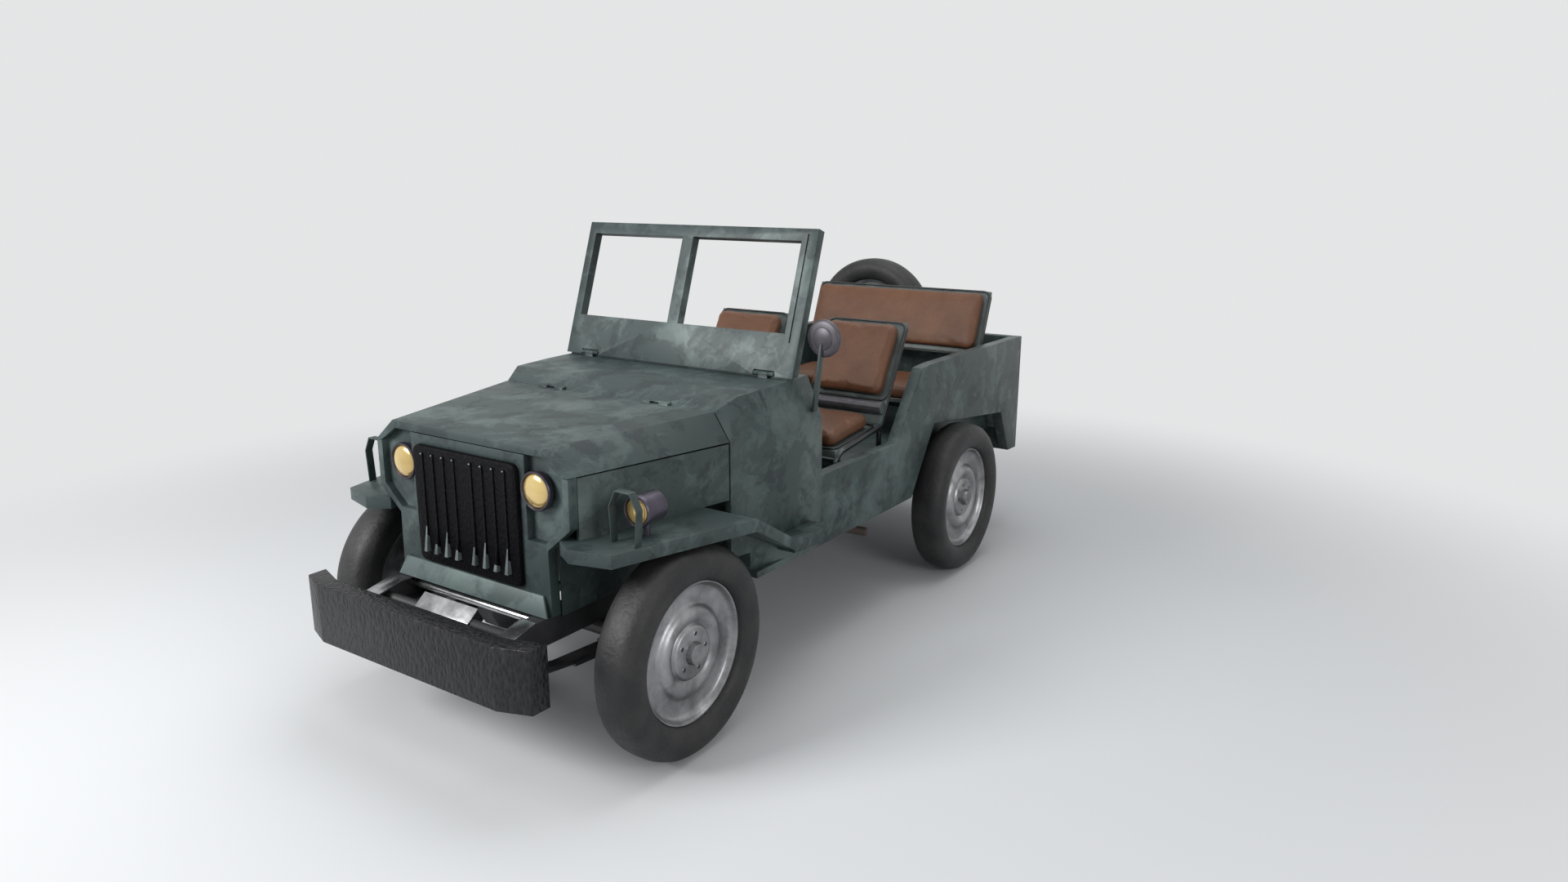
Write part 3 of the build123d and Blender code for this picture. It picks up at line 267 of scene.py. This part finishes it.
# bumper and grille both take painted shade in their wrinkles' hollows; the bumper's last colour is the
# painted highlight on its crests
BUMPER = wrinkled("wrinkled_black", (0.006, 0.006, 0.007), 85.0, 1.0, 0.40, (0.016, 0.016, 0.018))
GRILLE = wrinkled("grille_black", (0.003, 0.003, 0.004), 120.0, 0.8, 0.55, shine=0.08)
LAMP = painted("lamp_shell", (0.075, 0.066, 0.088), 0.32, 0.75, 200.0, 0.05, 0.2)
MIRROR_SHELL = painted("mirror_shell", (0.085, 0.078, 0.090), 0.42, 0.5, 120.0, 0.1, 0.25)
SEAT_PAINT = painted("seat_shell", (0.085, 0.106, 0.101), 0.45, 0.1, 80.0, 0.1, 0.3)
PIPING = painted("black_piping", (0.010, 0.010, 0.011), 0.3, 0.0, 150.0, 0.1, 0.3)
HIDE = brown_hide("brown_leather")
RUBBER = tyre_rubber("tyre_rubber")
AMBER = amber("amber_lens")
RED = painted("red_lens", (0.25, 0.012, 0.012), 0.18, 0.0, 90.0, 0.05, 0.2)
WHEEL_BLACK = painted("black_rim", (0.014, 0.014, 0.015), 0.3, 0.0, 60.0, 0.05, 0.2)
silver = Finish("mirror_glass", (0.8, 0.82, 0.83), Metallic=1.0)
silver.feed(Roughness=0.03 + 0.05 * silver.cloud(30.0))
GLASS = silver.material


# Making pieces ---------------------------------------------------------------
def settle(obj, material, body, replaces=(), smooth=35):
    """Gives a new piece its finish, its shading and the body that it rides on."""
    mesh = obj.data
    mesh.materials.clear()
    mesh.materials.append(material)
    mesh.polygons.foreach_set("use_smooth", [True] * len(mesh.polygons))
    mesh.set_sharp_from_angle(angle=radians(smooth))
    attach(obj, body)
    if replaces:
        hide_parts(*replaces)
    return obj


def object_of(name, bm):
    """A scene object that holds a finished bmesh."""
    mesh = bpy.data.meshes.new(name)
    bm.to_mesh(mesh)
    bm.free()
    obj = bpy.data.objects.new(name, mesh)
    bpy.context.collection.objects.link(obj)
    return obj


def eased(node, width, material, body, angle=28, segments=2):
    """A copy of a plain piece with its sharp edges eased, which takes that piece's place."""
    bm = bmesh.new()
    bm.from_mesh(nodes[node].data)
    bmesh.ops.remove_doubles(bm, verts=bm.verts, dist=0.00002)
    bmesh.ops.dissolve_limit(bm, angle_limit=radians(1.5), verts=bm.verts, edges=bm.edges)
    sharp = [e for e in bm.edges if len(e.link_faces) == 2 and e.calc_face_angle(0) > radians(angle)]
    bmesh.ops.bevel(bm, geom=sharp, offset=width, offset_type="OFFSET", affect="EDGES",
                    segments=segments, profile=0.5, material=-1, clamp_overlap=True)
    bmesh.ops.triangulate(bm, faces=[f for f in bm.faces if len(f.verts) > 4])
    return settle(object_of(f"{node}_eased", bm), material, body, (node,), 32)


def pointed(middle, way):
    """The placing that turns the X axis into a way and moves the origin to a point."""
    return Matrix.Translation(middle) @ ACROSS.rotation_difference(Vector(way)).to_matrix().to_4x4()


def turned(profile, middle, way, steps=96):
    """A bmesh spun from (offset along the axle, radius) points about an axle."""
    bm = bmesh.new()
    points = [bm.verts.new((offset, radius, 0)) for offset, radius in profile]
    edges = [bm.edges.new(pair) for pair in zip(points, points[1:])]
    bmesh.ops.spin(bm, geom=points + edges, cent=(0, 0, 0), axis=(1, 0, 0), angle=2 * pi,
                   steps=steps, use_merge=True, use_duplicate=False)
    bmesh.ops.remove_doubles(bm, verts=bm.verts, dist=0.00005)
    bmesh.ops.recalc_face_normals(bm, faces=bm.faces)
    bm.transform(pointed(middle, way))
    return bm


def curve_of(points, rounding, steps=5):
    """A path whose corners are rounded: three points make each bend."""
    path = [points[0]]
    for before, corner, after in zip(points, points[1:], points[2:]):
        start = corner + (before - corner).normalized() * min(rounding, (before - corner).length * 0.48)
        end = corner + (after - corner).normalized() * min(rounding, (after - corner).length * 0.48)
        for n in range(steps + 1):
            t = n / steps
            path.append(start * (1 - t) ** 2 + corner * 2 * t * (1 - t) + end * t ** 2)
    path.append(points[-1])
    return path


def evaluated(obj):
    """A new mesh of an object with its modifiers or its bevel applied."""
    return bpy.data.meshes.new_from_object(obj.evaluated_get(bpy.context.evaluated_depsgraph_get()))


def tube(name, points, radius, rounding=0.03, closed=False, sides=3):
    """A mesh tube along a path with rounded corners."""
    if closed:
        points = [(points[0] + points[-1]) / 2] + points + [(points[0] + points[-1]) / 2]
    path = curve_of(points, rounding)
    if closed:
        path.pop()
    line = bpy.data.curves.new(name, "CURVE")
    line.dimensions = "3D"
    line.bevel_depth = radius
    line.bevel_resolution = sides
    line.use_fill_caps = True
    spline = line.splines.new("POLY")
    spline.points.add(len(path) - 1)
    for mark, point in zip(spline.points, path):
        mark.co = (*point, 1)
    spline.use_cyclic_u = closed
    holder = bpy.data.objects.new(name + "_line", line)
    bpy.context.collection.objects.link(holder)
    bpy.context.view_layer.update()
    mesh = evaluated(holder)
    bpy.data.objects.remove(holder)
    obj = bpy.data.objects.new(name, mesh)
    bpy.context.collection.objects.link(obj)
    return obj


def joined(name, parts):
    """Several mesh objects as one."""
    bm = bmesh.new()
    for part in parts:
        bm.from_mesh(part.data)
        bpy.data.objects.remove(part)
    return object_of(name, bm)


# Tyres and wheels ------------------------------------------------------------
# The tyre's section: offset from the wheel's middle plane and radius, from bead to bead
tyre_section = [
    (-0.044, 0.2322), (-0.058, 0.236), (-0.068, 0.250), (-0.0745, 0.270), (-0.0772, 0.290),
    (-0.0745, 0.309), (-0.0665, 0.326), (-0.0535, 0.3375), (-0.036, 0.3435), (-0.018, 0.3457),
    (0, 0.346), (0.018, 0.3457), (0.036, 0.3435), (0.0535, 0.3375), (0.0665, 0.326), (0.0745, 0.309),
    (0.0772, 0.290), (0.0745, 0.270), (0.068, 0.250), (0.058, 0.236), (0.044, 0.2322),
]
# The wheel's face from the rim's lip over the flat ring and the dome to the hub
wheel_section = [
    (0.046, 0.2318), (0.0485, 0.2300), (0.0480, 0.2262), (0.0440, 0.2235), (0.0400, 0.2215),
    (0.0300, 0.2170), (0.0255, 0.2110), (0.0235, 0.2010), (0.0228, 0.1800), (0.0230, 0.1620),
    (0.0250, 0.1550), (0.0315, 0.1490), (0.0390, 0.1425), (0.0440, 0.1330), (0.0452, 0.1230),
    (0.0430, 0.1120), (0.0375, 0.1020), (0.0325, 0.0960), (0.0315, 0.0925), (0.0345, 0.0890),
    (0.0400, 0.0865), (0.0425, 0.0830), (0.0430, 0.0770), (0.0430, 0.0420), (0.0442, 0.0385),
    (0.0600, 0.0362), (0.0655, 0.0340), (0.0662, 0.0300), (0.0662, 0.0),
]
wheel_back = [
    (0.044, 0.2316), (0.0, 0.2200), (-0.040, 0.2180), (-0.0445, 0.2316), (-0.0435, 0.2316),
    (-0.038, 0.2160), (-0.004, 0.2140), (0.006, 0.1300), (-0.036, 0.1250), (-0.0362, 0.0240),
]
HOLES = 5
HOLE_CIRCLE = 0.062
HOLE_RADIUS = 0.0070
PLATE_FACE = 0.0432
# name, middle, way that the face looks, body and the first hole's angle in degrees
wheels = [
    ("front_left", (HALF_TRACK, AXLE_Y, AXLE_Z), (1, 0, 0), "wheel_front_left", 6),
    ("front_right", (-HALF_TRACK, AXLE_Y, AXLE_Z), (-1, 0, 0), "wheel_front_right", 20),
    ("rear_left", (HALF_TRACK, AXLE_Y + WHEELBASE, AXLE_Z), (1, 0, 0), "wheel_rear_left", 33),
    ("rear_right", (-HALF_TRACK, AXLE_Y + WHEELBASE, AXLE_Z), (-1, 0, 0), "wheel_rear_right", 50),
    ("spare", (-0.32, AXLE_Y + 2.9075, 1.018), (0, 1, 0), "root", 15),
]
for name, middle, way, body, phase in wheels:
    tyre = object_of(f"tyre_{name}_round", turned(tyre_section, middle, way))
    settle(tyre, RUBBER, body, (f"tyre_{name}",), 60)
    bm = turned(wheel_section, (0, 0, 0), ACROSS)
    back = turned(wheel_back, (0, 0, 0), ACROSS)
    rear = bpy.data.meshes.new("rear")
    back.to_mesh(rear)
    back.free()
    bm.from_mesh(rear)
    # bolt holes on the plate round the hub, each a pressed rim round a thin black disc; the disc is
    # painted shade standing in for the hole's dark inside
    hole_shades = bmesh.new()
    for n in range(HOLES):
        angle = radians(phase + 360 / HOLES * n)
        spot = Vector((PLATE_FACE, HOLE_CIRCLE * cos(angle), HOLE_CIRCLE * sin(angle)))
        placed = Matrix.Translation(spot) @ Matrix.Rotation(pi / 2, 4, "Y")
        bmesh.ops.create_cone(hole_shades, cap_ends=True, segments=24, radius1=HOLE_RADIUS,
                              radius2=HOLE_RADIUS, depth=0.0008, matrix=placed)
        bmesh.ops.create_cone(bm, segments=24, radius1=HOLE_RADIUS + 0.0022,
                              radius2=HOLE_RADIUS + 0.0002, depth=0.0016, matrix=placed)
    place = pointed(middle, way)
    hole_shades.transform(place)
    # the black discs are painted shade in place of open holes
    settle(object_of(f"wheel_{name}_holes", hole_shades), WHEEL_BLACK, body, (), 30)
    bm.transform(place)
    settle(object_of(f"wheel_{name}_pressed", bm), STEEL, body, (f"wheel_{name}",), 40)


# Panels and frames: the plain forms with their edges eased -------------------
# node, width of the eased edge, finish, slot and body
for node, width, material, slot, body in (
    ("front_shell", 0.0022, PAINT, "body_paint", "root"),
    # the apron takes the paler copy of the paint, which is painted light
    ("front_apron", 0.0015, LIT_APRON_PAINT, "body_paint", "root"),
    ("hood", 0.0022, PAINT, "body_paint", "hood"),
    ("cowl", 0.0025, PAINT, "body_paint", "root"),
    ("tub", 0.0030, PAINT, "body_paint", "root"),
    ("fender_left", 0.0022, PAINT, "body_paint", "root"),
    ("fender_right", 0.0022, PAINT, "body_paint", "root"),
    ("lamp_guards", 0.0015, PAINT, "body_paint", "root"),
    ("windshield", 0.0018, PAINT, "body_paint", "windshield"),
    ("front_bumper", 0.0035, BUMPER, "bumper_black", "root"),
    ("rear_bumpers", 0.0030, BUMPER, "bumper_black", "root"),
    ("chassis_frame", 0.0020, CHASSIS, "dark_frame", "root"),
    ("horn_plates", 0.0012, BRIGHT, "bare_steel", "root"),
    ("leaf_springs", 0.0010, CHASSIS, "dark_frame", "root"),
    ("front_axle", 0.0015, CHASSIS, "dark_frame", "root"),
    ("rear_axle", 0.0010, CHASSIS, "dark_frame", "root"),
    ("driveline", 0.0030, CAST, "dark_frame", "root"),
    ("engine_block", 0.0080, CAST, "engine_grey", "root"),
    ("radiator", 0.0030, GRILLE, "grille_black", "root"),
    ("exhaust", 0.0010, PIPE, "exhaust_metal", "root"),
    ("tow_hook", 0.0025, CHASSIS, "dark_frame", "root"),
    ("spare_carrier", 0.0020, CHASSIS, "dark_frame", "root"),
    ("tie_rod", 0.0010, STEEL, "dark_frame", "tie_rod"),
    ("knuckle_left", 0.0010, CAST, "dark_frame", "knuckle_left"),
    ("knuckle_right", 0.0010, CAST, "dark_frame", "knuckle_right"),
    ("driver_controls", 0.0010, CHASSIS, "dark_frame", "root"),
    ("seat_frames", 0.0030, SEAT_PAINT, "seat_metal", "root"),
    ("bench_frame", 0.0030, SEAT_PAINT, "seat_metal", "root"),
    ("grille_insert", 0.0060, GRILLE, "grille_black", "root"),
    ("grille_bars", 0.0006, GRILLE, "grille_black", "root"),
):
    eased(node, width, material, body)

# Lamps, mirror and steering wheel --------------------------------------------
FORWARDS = (0, 1, 0)
ROUND = 64
# X, length, height, radius and depth of each lamp; the last is the black-out lamp on the fender
lamp_places = [(0.307, -0.282, 0.880, 0.062, 0.024), (-0.307, -0.282, 0.880, 0.062, 0.024),
               (0.577, -0.140, 0.828, 0.050, 0.090)]
cans, lenses = [], []
for x, front, z, radius, depth in lamp_places:
    bezel = [(0.0095, radius - 0.0088), (-0.002, radius - 0.0086), (-0.006, radius - 0.0060),
             (-0.0065, radius - 0.0035), (-0.004, radius - 0.0010), (0.001, radius), (0.012, radius),
             (0.014, radius - 0.002), (depth - 0.006, radius - 0.003), (depth, radius - 0.012),
             (depth, 0.0)]
    cans.append(object_of("can", turned(bezel, at(x, front, z), FORWARDS, ROUND)))
    glass = radius - 0.0087
    dome = [(0.0092, glass)]
    dome += [(0.004 - 0.017 * cos(n * pi / 16), glass * sin(n * pi / 16)) for n in range(8, -1, -1)]
    lenses.append(object_of("dome", turned(dome, at(x, front, z), FORWARDS, ROUND)))
cans.append(tube("lamp_foot", [at(0.577, -0.098, 0.742), at(0.577, -0.098, 0.780)], 0.010))
settle(joined("lamp_shells", cans), LAMP, "root", ("lamp_cans",), 40)
settle(joined("lamp_domes", lenses), AMBER, "root", ("lamp_lenses",), 50)

tails, rings = [], []
for x in (-0.520, 0.520):
    rear_face = at(x, 2.8083, 0.640)
    ring = [(0.0, 0.0), (0.0, 0.040), (0.026, 0.040), (0.031, 0.037), (0.031, 0.033), (0.027, 0.0325)]
    rings.append(object_of("ring", turned(ring, rear_face, FORWARDS, 48)))
    lens = [(0.022, 0.0324), (0.028, 0.031), (0.0325, 0.022), (0.0337, 0.0)]
    tails.append(object_of("lens", turned(lens, rear_face, FORWARDS, 48)))
settle(joined("tail_lenses", tails), RED, "root", ("tail_lamps",), 50)
settle(joined("tail_rings", rings), LAMP, "root", (), 40)

head = Vector((0.6300, 0.798 + AXLE_Y, 1.233))
mirror_way = Vector((0.03, 1, 0)).normalized()
shell = [(0.0, 0.0), (0.0, 0.0385), (0.0015, 0.0405), (0.0045, 0.0415), (0.0060, 0.058), (0.0085, 0.064),
         (0.0125, 0.0675), (0.0205, 0.068), (0.0262, 0.0665), (0.0262, 0.0625)]
settle(object_of("mirror_head", turned(shell, head, mirror_way, ROUND)), MIRROR_SHELL, "root",
       ("mirror",), 40)
disc = turned([(0.0258, 0.0626), (0.0260, 0.0)], head, mirror_way, ROUND)
settle(object_of("mirror_disc", disc), GLASS, "root")
# a flat strap from the cowl to the mirror's back
low, high = at(0.5994, 0.802, 0.966), at(0.6280, 0.806, 1.215)
upward = (high - low).normalized()
wide = Vector((0, 1, 0))
turn = Matrix((wide.cross(upward), wide, upward)).transposed().to_4x4()
bm = bmesh.new()
strap = bmesh.ops.create_cube(bm, size=1, matrix=Matrix.Translation((low + high) / 2) @ turn
                              @ Matrix.Diagonal((0.011, 0.027, (high - low).length, 1)))["verts"]
bmesh.ops.bevel(bm, geom=list({e for v in strap for e in v.link_edges}), offset=0.0025,
                affect="EDGES", segments=2, profile=0.5, material=-1)
settle(object_of("mirror_stalk", bm), PAINT_PLAIN, "root")

eased("steering_wheel", 0.0008, WHEEL_BLACK, "steering_wheel")


# Padded seats ----------------------------------------------------------------
PAD_CORNER = 0.036
CLOTH_FRAMES = 20
PIPING_RADIUS = 0.0042
PIPING_BEND = 0.035


def outward(along):
    """The side that a pad swells to: forwards from a back, upwards from a seat."""
    out = ACROSS.cross(along)
    if out.y > 0 and abs(out.y) > abs(out.z) or out.z < 0 and abs(out.z) > abs(out.y):
        out = -out
    return out


def cushion(name, node, corner_low, corner_high, thickness, half, middle_x, crown, voxel):
    """A crowned pad between two side points, swollen by a short cloth run."""
    run = corner_high - corner_low
    along = run.normalized()
    out = outward(along)
    bm = bmesh.new()
    bmesh.ops.create_cube(bm, size=1)
    bm.transform(Matrix.Diagonal((half * 2 - 0.012, run.length - 0.012, thickness - 0.010, 1)))
    upright = [e for e in bm.edges if abs((e.verts[0].co - e.verts[1].co).z) > 0.001]
    bmesh.ops.bevel(bm, geom=upright, offset=PAD_CORNER, affect="EDGES", segments=6, profile=0.5,
                    material=-1)
    level = [e for e in bm.edges if abs((e.verts[0].co - e.verts[1].co).z) < 0.0001]
    bmesh.ops.bevel(bm, geom=level, offset=thickness * 0.32, affect="EDGES", segments=4,
                    profile=0.55, material=-1, clamp_overlap=True)
    obj = object_of(name, bm)
    remesh = obj.modifiers.new("grid", "REMESH")
    remesh.mode = "VOXEL"
    remesh.voxel_size = voxel
    bpy.context.view_layer.update()
    mesh = evaluated(obj)
    obj.modifiers.clear()
    obj.data = mesh
    still = [v.co.copy() for v in mesh.vertices]
    cloth = obj.modifiers.new("cloth", "CLOTH")
    cloth.settings.use_pressure = True
    cloth.settings.uniform_pressure_force = 4
    cloth.settings.effector_weights.gravity = 0
    cloth.point_cache.frame_start, cloth.point_cache.frame_end = 1, CLOTH_FRAMES
    for number in range(1, CLOTH_FRAMES + 1):
        bpy.context.scene.frame_set(number)
    swollen = evaluated(obj)
    obj.modifiers.clear()
    moved = [v.co.copy() for v in swollen.vertices]
    bpy.context.scene.frame_set(1)
    bm = bmesh.new()
    bm.from_mesh(mesh)
    bm.verts.ensure_lookup_table()
    limit = thickness / 2
    for vert, old, new in zip(bm.verts, still, moved):
        step = new - old
        if step.length > crown:
            step = step.normalized() * crown
        vert.co = old + step
        flat = max(0.0, 1 - (vert.co.x / half) ** 2) * max(0.0, 1 - (2 * vert.co.y / run.length) ** 2)
        if vert.co.z > 0:
            vert.co.z += crown * 0.5 * flat
        vert.co.z = max(-limit, vert.co.z)
        vert.co.z += 0.0012 * noise.noise(vert.co * 22.0)
    bmesh.ops.smooth_vert(bm, verts=bm.verts, factor=0.5, use_axis_x=True, use_axis_y=True,
                          use_axis_z=True)
    bmesh.ops.subdivide_edges(bm, edges=bm.edges[:], cuts=1, use_grid_fill=True, smooth=0.6)
    place = Matrix((ACROSS, along, out)).transposed().to_4x4()
    if place.determinant() < 0:
        place = Matrix((-ACROSS, along, out)).transposed().to_4x4()
    middle = (corner_low + corner_high) / 2 + out * (thickness / 2)
    middle.x = middle_x
    bm.transform(Matrix.Translation(middle) @ place)
    final = object_of(name + "_soft", bm)
    bpy.data.objects.remove(obj)
    settle(final, HIDE, "root", (node,), 80)
    return final


def welt(name, corner_low, corner_high, half, middle_x, shift):
    """A round black piping along the edge of a pad or a seat shell."""
    out = outward((corner_high - corner_low).normalized())
    points = []
    for x, end in ((-half, corner_low), (half, corner_low), (half, corner_high), (-half, corner_high)):
        point = end + out * shift
        points.append(Vector((middle_x + x, point.y, point.z)))
    return settle(tube(name, points, PIPING_RADIUS, PIPING_BEND, True), PIPING, "root",
                  (), 60)


SEAT_X, SEAT_HALF = 0.305, 0.187
TUBE_RADIUS = 0.0104
for name, side in (("driver", 1), ("passenger", -1)):
    x = side * SEAT_X
    cushion(f"{name}_cushion_pad", f"{name}_cushion", at(x, 1.128, 0.737), at(x, 1.450, 0.7715),
            0.060, SEAT_HALF, x, 0.010, 0.006)
    cushion(f"{name}_back_pad", f"{name}_back", at(x, 1.548, 0.868), at(x, 1.714, 1.171),
            0.058, SEAT_HALF, x, 0.010, 0.006)
cushion("bench_cushion_pad", "bench_cushion", at(0, 2.090, 0.7545), at(0, 2.492, 0.7545),
        0.072, 0.480, 0.0, 0.010, 0.009)
cushion("bench_back_pad", "bench_back", at(0, 2.515, 0.948), at(0, 2.628, 1.236),
        0.054, 0.492, 0.0, 0.008, 0.009)

# Black piping round each pad and along the rear edge of its shell, the roll in the
# shell's bend and the bent tubes that carry it
for name, side in (("driver", 1), ("passenger", -1)):
    x = side * SEAT_X
    welt(f"{name}_back_piping", at(x, 1.546, 0.866), at(x, 1.718, 1.180), SEAT_HALF + 0.0045, x, 0.004)
    welt(f"{name}_shell_piping", at(x, 1.514, 0.782), at(x, 1.7295, 1.177), SEAT_HALF + 0.0085, x, -0.001)
    welt(f"{name}_cushion_piping", at(x, 1.1235, 0.737), at(x, 1.462, 0.7725), SEAT_HALF + 0.0045, x,
         0.004)
    roll = tube("roll", [at(x - 0.194, 1.513, 0.842), at(x + 0.194, 1.513, 0.842)], 0.0268, 0.01, sides=8)
    settle(joined(f"{name}_seat_roll", [roll]), MIRROR_SHELL, "root", (), 40)
    rails = []
    for edge in (x - 0.197, x + 0.197):
        rail = [at(edge, 1.498, 0.767), at(edge, 1.165, 0.725), at(edge, 1.122, 0.689),
                at(edge, 1.110, 0.468)]
        leg = [at(edge, 1.480, 0.750), at(edge, 1.480, 0.468)]
        rails.append(tube("rail", rail, TUBE_RADIUS, sides=5))
        rails.append(tube("leg", leg, TUBE_RADIUS, sides=5))
    settle(joined(f"{name}_seat_tubes", rails), WHEEL_BLACK, "root", (), 50)
welt("bench_back_piping", at(0, 2.513, 0.940), at(0, 2.632, 1.2435), 0.4965, 0.0, 0.004)
welt("bench_shell_piping", at(0, 2.529, 0.936), at(0, 2.6475, 1.240), 0.4985, 0.0, -0.001)
welt("bench_cushion_piping", at(0, 2.084, 0.7555), at(0, 2.497, 0.7555), 0.4835, 0.0, 0.004)

# Pale wedges at the foot of the grille's bars, and the small caps at their heads
SPIKE = painted("wedge_grey", (0.150, 0.175, 0.180), 0.35, 0.6, 90.0, 0.08, 0.3)
BAR_X = (-0.190, -0.140, -0.090, -0.040, 0.040, 0.090, 0.140, 0.190)
WEDGE_TALL = (0.108, 0.088, 0.104, 0.088, 0.096, 0.104, 0.080, 0.104)
WEDGE_FOOT, WEDGE_BACK, WEDGE_FRONT = 0.5995, -0.2978, -0.3132
bm = bmesh.new()
for x, tall in zip(BAR_X, WEDGE_TALL):
    corners = [at(x - 0.0098, WEDGE_BACK, WEDGE_FOOT), at(x + 0.0098, WEDGE_BACK, WEDGE_FOOT),
               at(x + 0.0068, WEDGE_FRONT, WEDGE_FOOT), at(x - 0.0068, WEDGE_FRONT, WEDGE_FOOT),
               at(x - 0.0008, -0.2990, WEDGE_FOOT + tall), at(x + 0.0008, -0.2990, WEDGE_FOOT + tall)]
    made = [bm.verts.new(corner) for corner in corners]
    for face in ((0, 3, 2, 1), (3, 0, 4), (2, 3, 4, 5), (1, 2, 5), (0, 1, 5, 4)):
        bm.faces.new([made[k] for k in face])
bmesh.ops.recalc_face_normals(bm, faces=bm.faces)
settle(object_of("grille_wedges", bm), SPIKE, "root", (), 20)
bm = bmesh.new()
for x in BAR_X:
    bmesh.ops.create_uvsphere(bm, u_segments=12, v_segments=8, radius=0.0036,
                              matrix=Matrix.Translation(at(x, -0.3028, 0.926)))
settle(object_of("grille_bar_heads", bm), SPIKE, "root", (), 40)

# The stage, the light and the camera -----------------------------------------
scene = bpy.context.scene
scene.view_settings.view_transform = "Standard"

PALE_GREY = (0.78, 0.785, 0.79, 1)
FADE_START, FADE_END = 2.1, 4.8

# The floor keeps the car's shadow near it and fades into the pale background
bm = bmesh.new()
bmesh.ops.create_grid(bm, x_segments=1, y_segments=1, size=60)
floor = object_of("floor", bm)
ground = Finish("pale_floor", (0.66, 0.67, 0.68), Roughness=0.9)
seen = ground.add("ShaderNodeLightPath", None, out="Is Camera Ray")
mirrored = ground.add("ShaderNodeLightPath", None, out="Is Glossy Ray")
away = ground.add("ShaderNodeVectorMath", {"operation": "LENGTH"}, ground.place, out="Value")
fade = ground.add("ShaderNodeMapRange", {"interpolation_type": "SMOOTHSTEP"}, away, FADE_START, FADE_END,
                  0.0, 1.0)
glow = ground.add("ShaderNodeEmission", None, Color=PALE_GREY, Strength=1.0)
mixed = ground.tree.nodes.new("ShaderNodeMixShader")
ground.tree.links.new((fade * ground.maximum(seen, mirrored)).socket, mixed.inputs[0])
ground.tree.links.new(ground.shader.outputs[0], mixed.inputs[1])
ground.tree.links.new(glow.socket, mixed.inputs[2])
ground.tree.links.new(mixed.outputs[0], ground.tree.nodes["Material Output"].inputs[0])
floor.data.materials.append(ground.material)

# A soft grey fill, and a plain background for camera and mirrored rays
world = bpy.data.worlds.new("studio")
scene.world = world
world.use_nodes = True
sky = world.node_tree
background = sky.nodes["Background"]
background.inputs["Color"].default_value = (0.80, 0.83, 0.86, 1)
background.inputs["Strength"].default_value = 0.42
backdrop = sky.nodes.new("ShaderNodeBackground")
backdrop.inputs["Color"].default_value = PALE_GREY
backdrop.inputs["Strength"].default_value = 1.0
rays = sky.nodes.new("ShaderNodeLightPath")
either = sky.nodes.new("ShaderNodeMath")
either.operation = "MAXIMUM"
sky.links.new(rays.outputs["Is Camera Ray"], either.inputs[0])
sky.links.new(rays.outputs["Is Glossy Ray"], either.inputs[1])
mixer = sky.nodes.new("ShaderNodeMixShader")
sky.links.new(either.outputs[0], mixer.inputs[0])
sky.links.new(background.outputs[0], mixer.inputs[1])
sky.links.new(backdrop.outputs[0], mixer.inputs[2])
sky.links.new(mixer.outputs[0], sky.nodes["World Output"].inputs[0])


def soft_light(name, place, target, width, height, power):
    """A white rectangle of light that looks at a point."""
    light = bpy.data.lights.new(name, "AREA")
    light.energy = power
    light.shape = "RECTANGLE"
    light.size, light.size_y = width, height
    obj = bpy.data.objects.new(name, light)
    bpy.context.collection.objects.link(obj)
    obj.location = place
    obj.rotation_euler = (Vector(target) - Vector(place)).to_track_quat("-Z", "Y").to_euler()


soft_light("key", (-2.2, -5.6, 3.6), (0, -0.2, 0.6), 2.6, 2.0, 330)
soft_light("top", (0.3, 0.8, 5.5), (0, 0.2, 0.6), 4.0, 4.0, 110)
soft_light("side", (5.5, -2.2, 2.6), (0, 0, 0.7), 2.2, 2.2, 70)

# The camera, as the photograph was taken
CAMERA_PLACE = (2.5615, -3.5495, 1.764)
camera = bpy.data.cameras.new("camera")
camera.lens = 23.93
camera.sensor_width = 36
viewer = bpy.data.objects.new("camera", camera)
bpy.context.collection.objects.link(viewer)
yaw, pitch, roll = radians(33.665), radians(13.798), radians(0.241)
back = Vector((sin(yaw) * cos(pitch), -cos(yaw) * cos(pitch), sin(pitch)))
right = Vector((cos(yaw), sin(yaw), 0))
up = back.cross(right)
right_rolled = right * cos(roll) + up * sin(roll)
up_rolled = up * cos(roll) - right * sin(roll)
turn = Matrix((right_rolled, up_rolled, back)).transposed().to_4x4()
viewer.matrix_world = Matrix.Translation(CAMERA_PLACE) @ turn
scene.camera = viewer
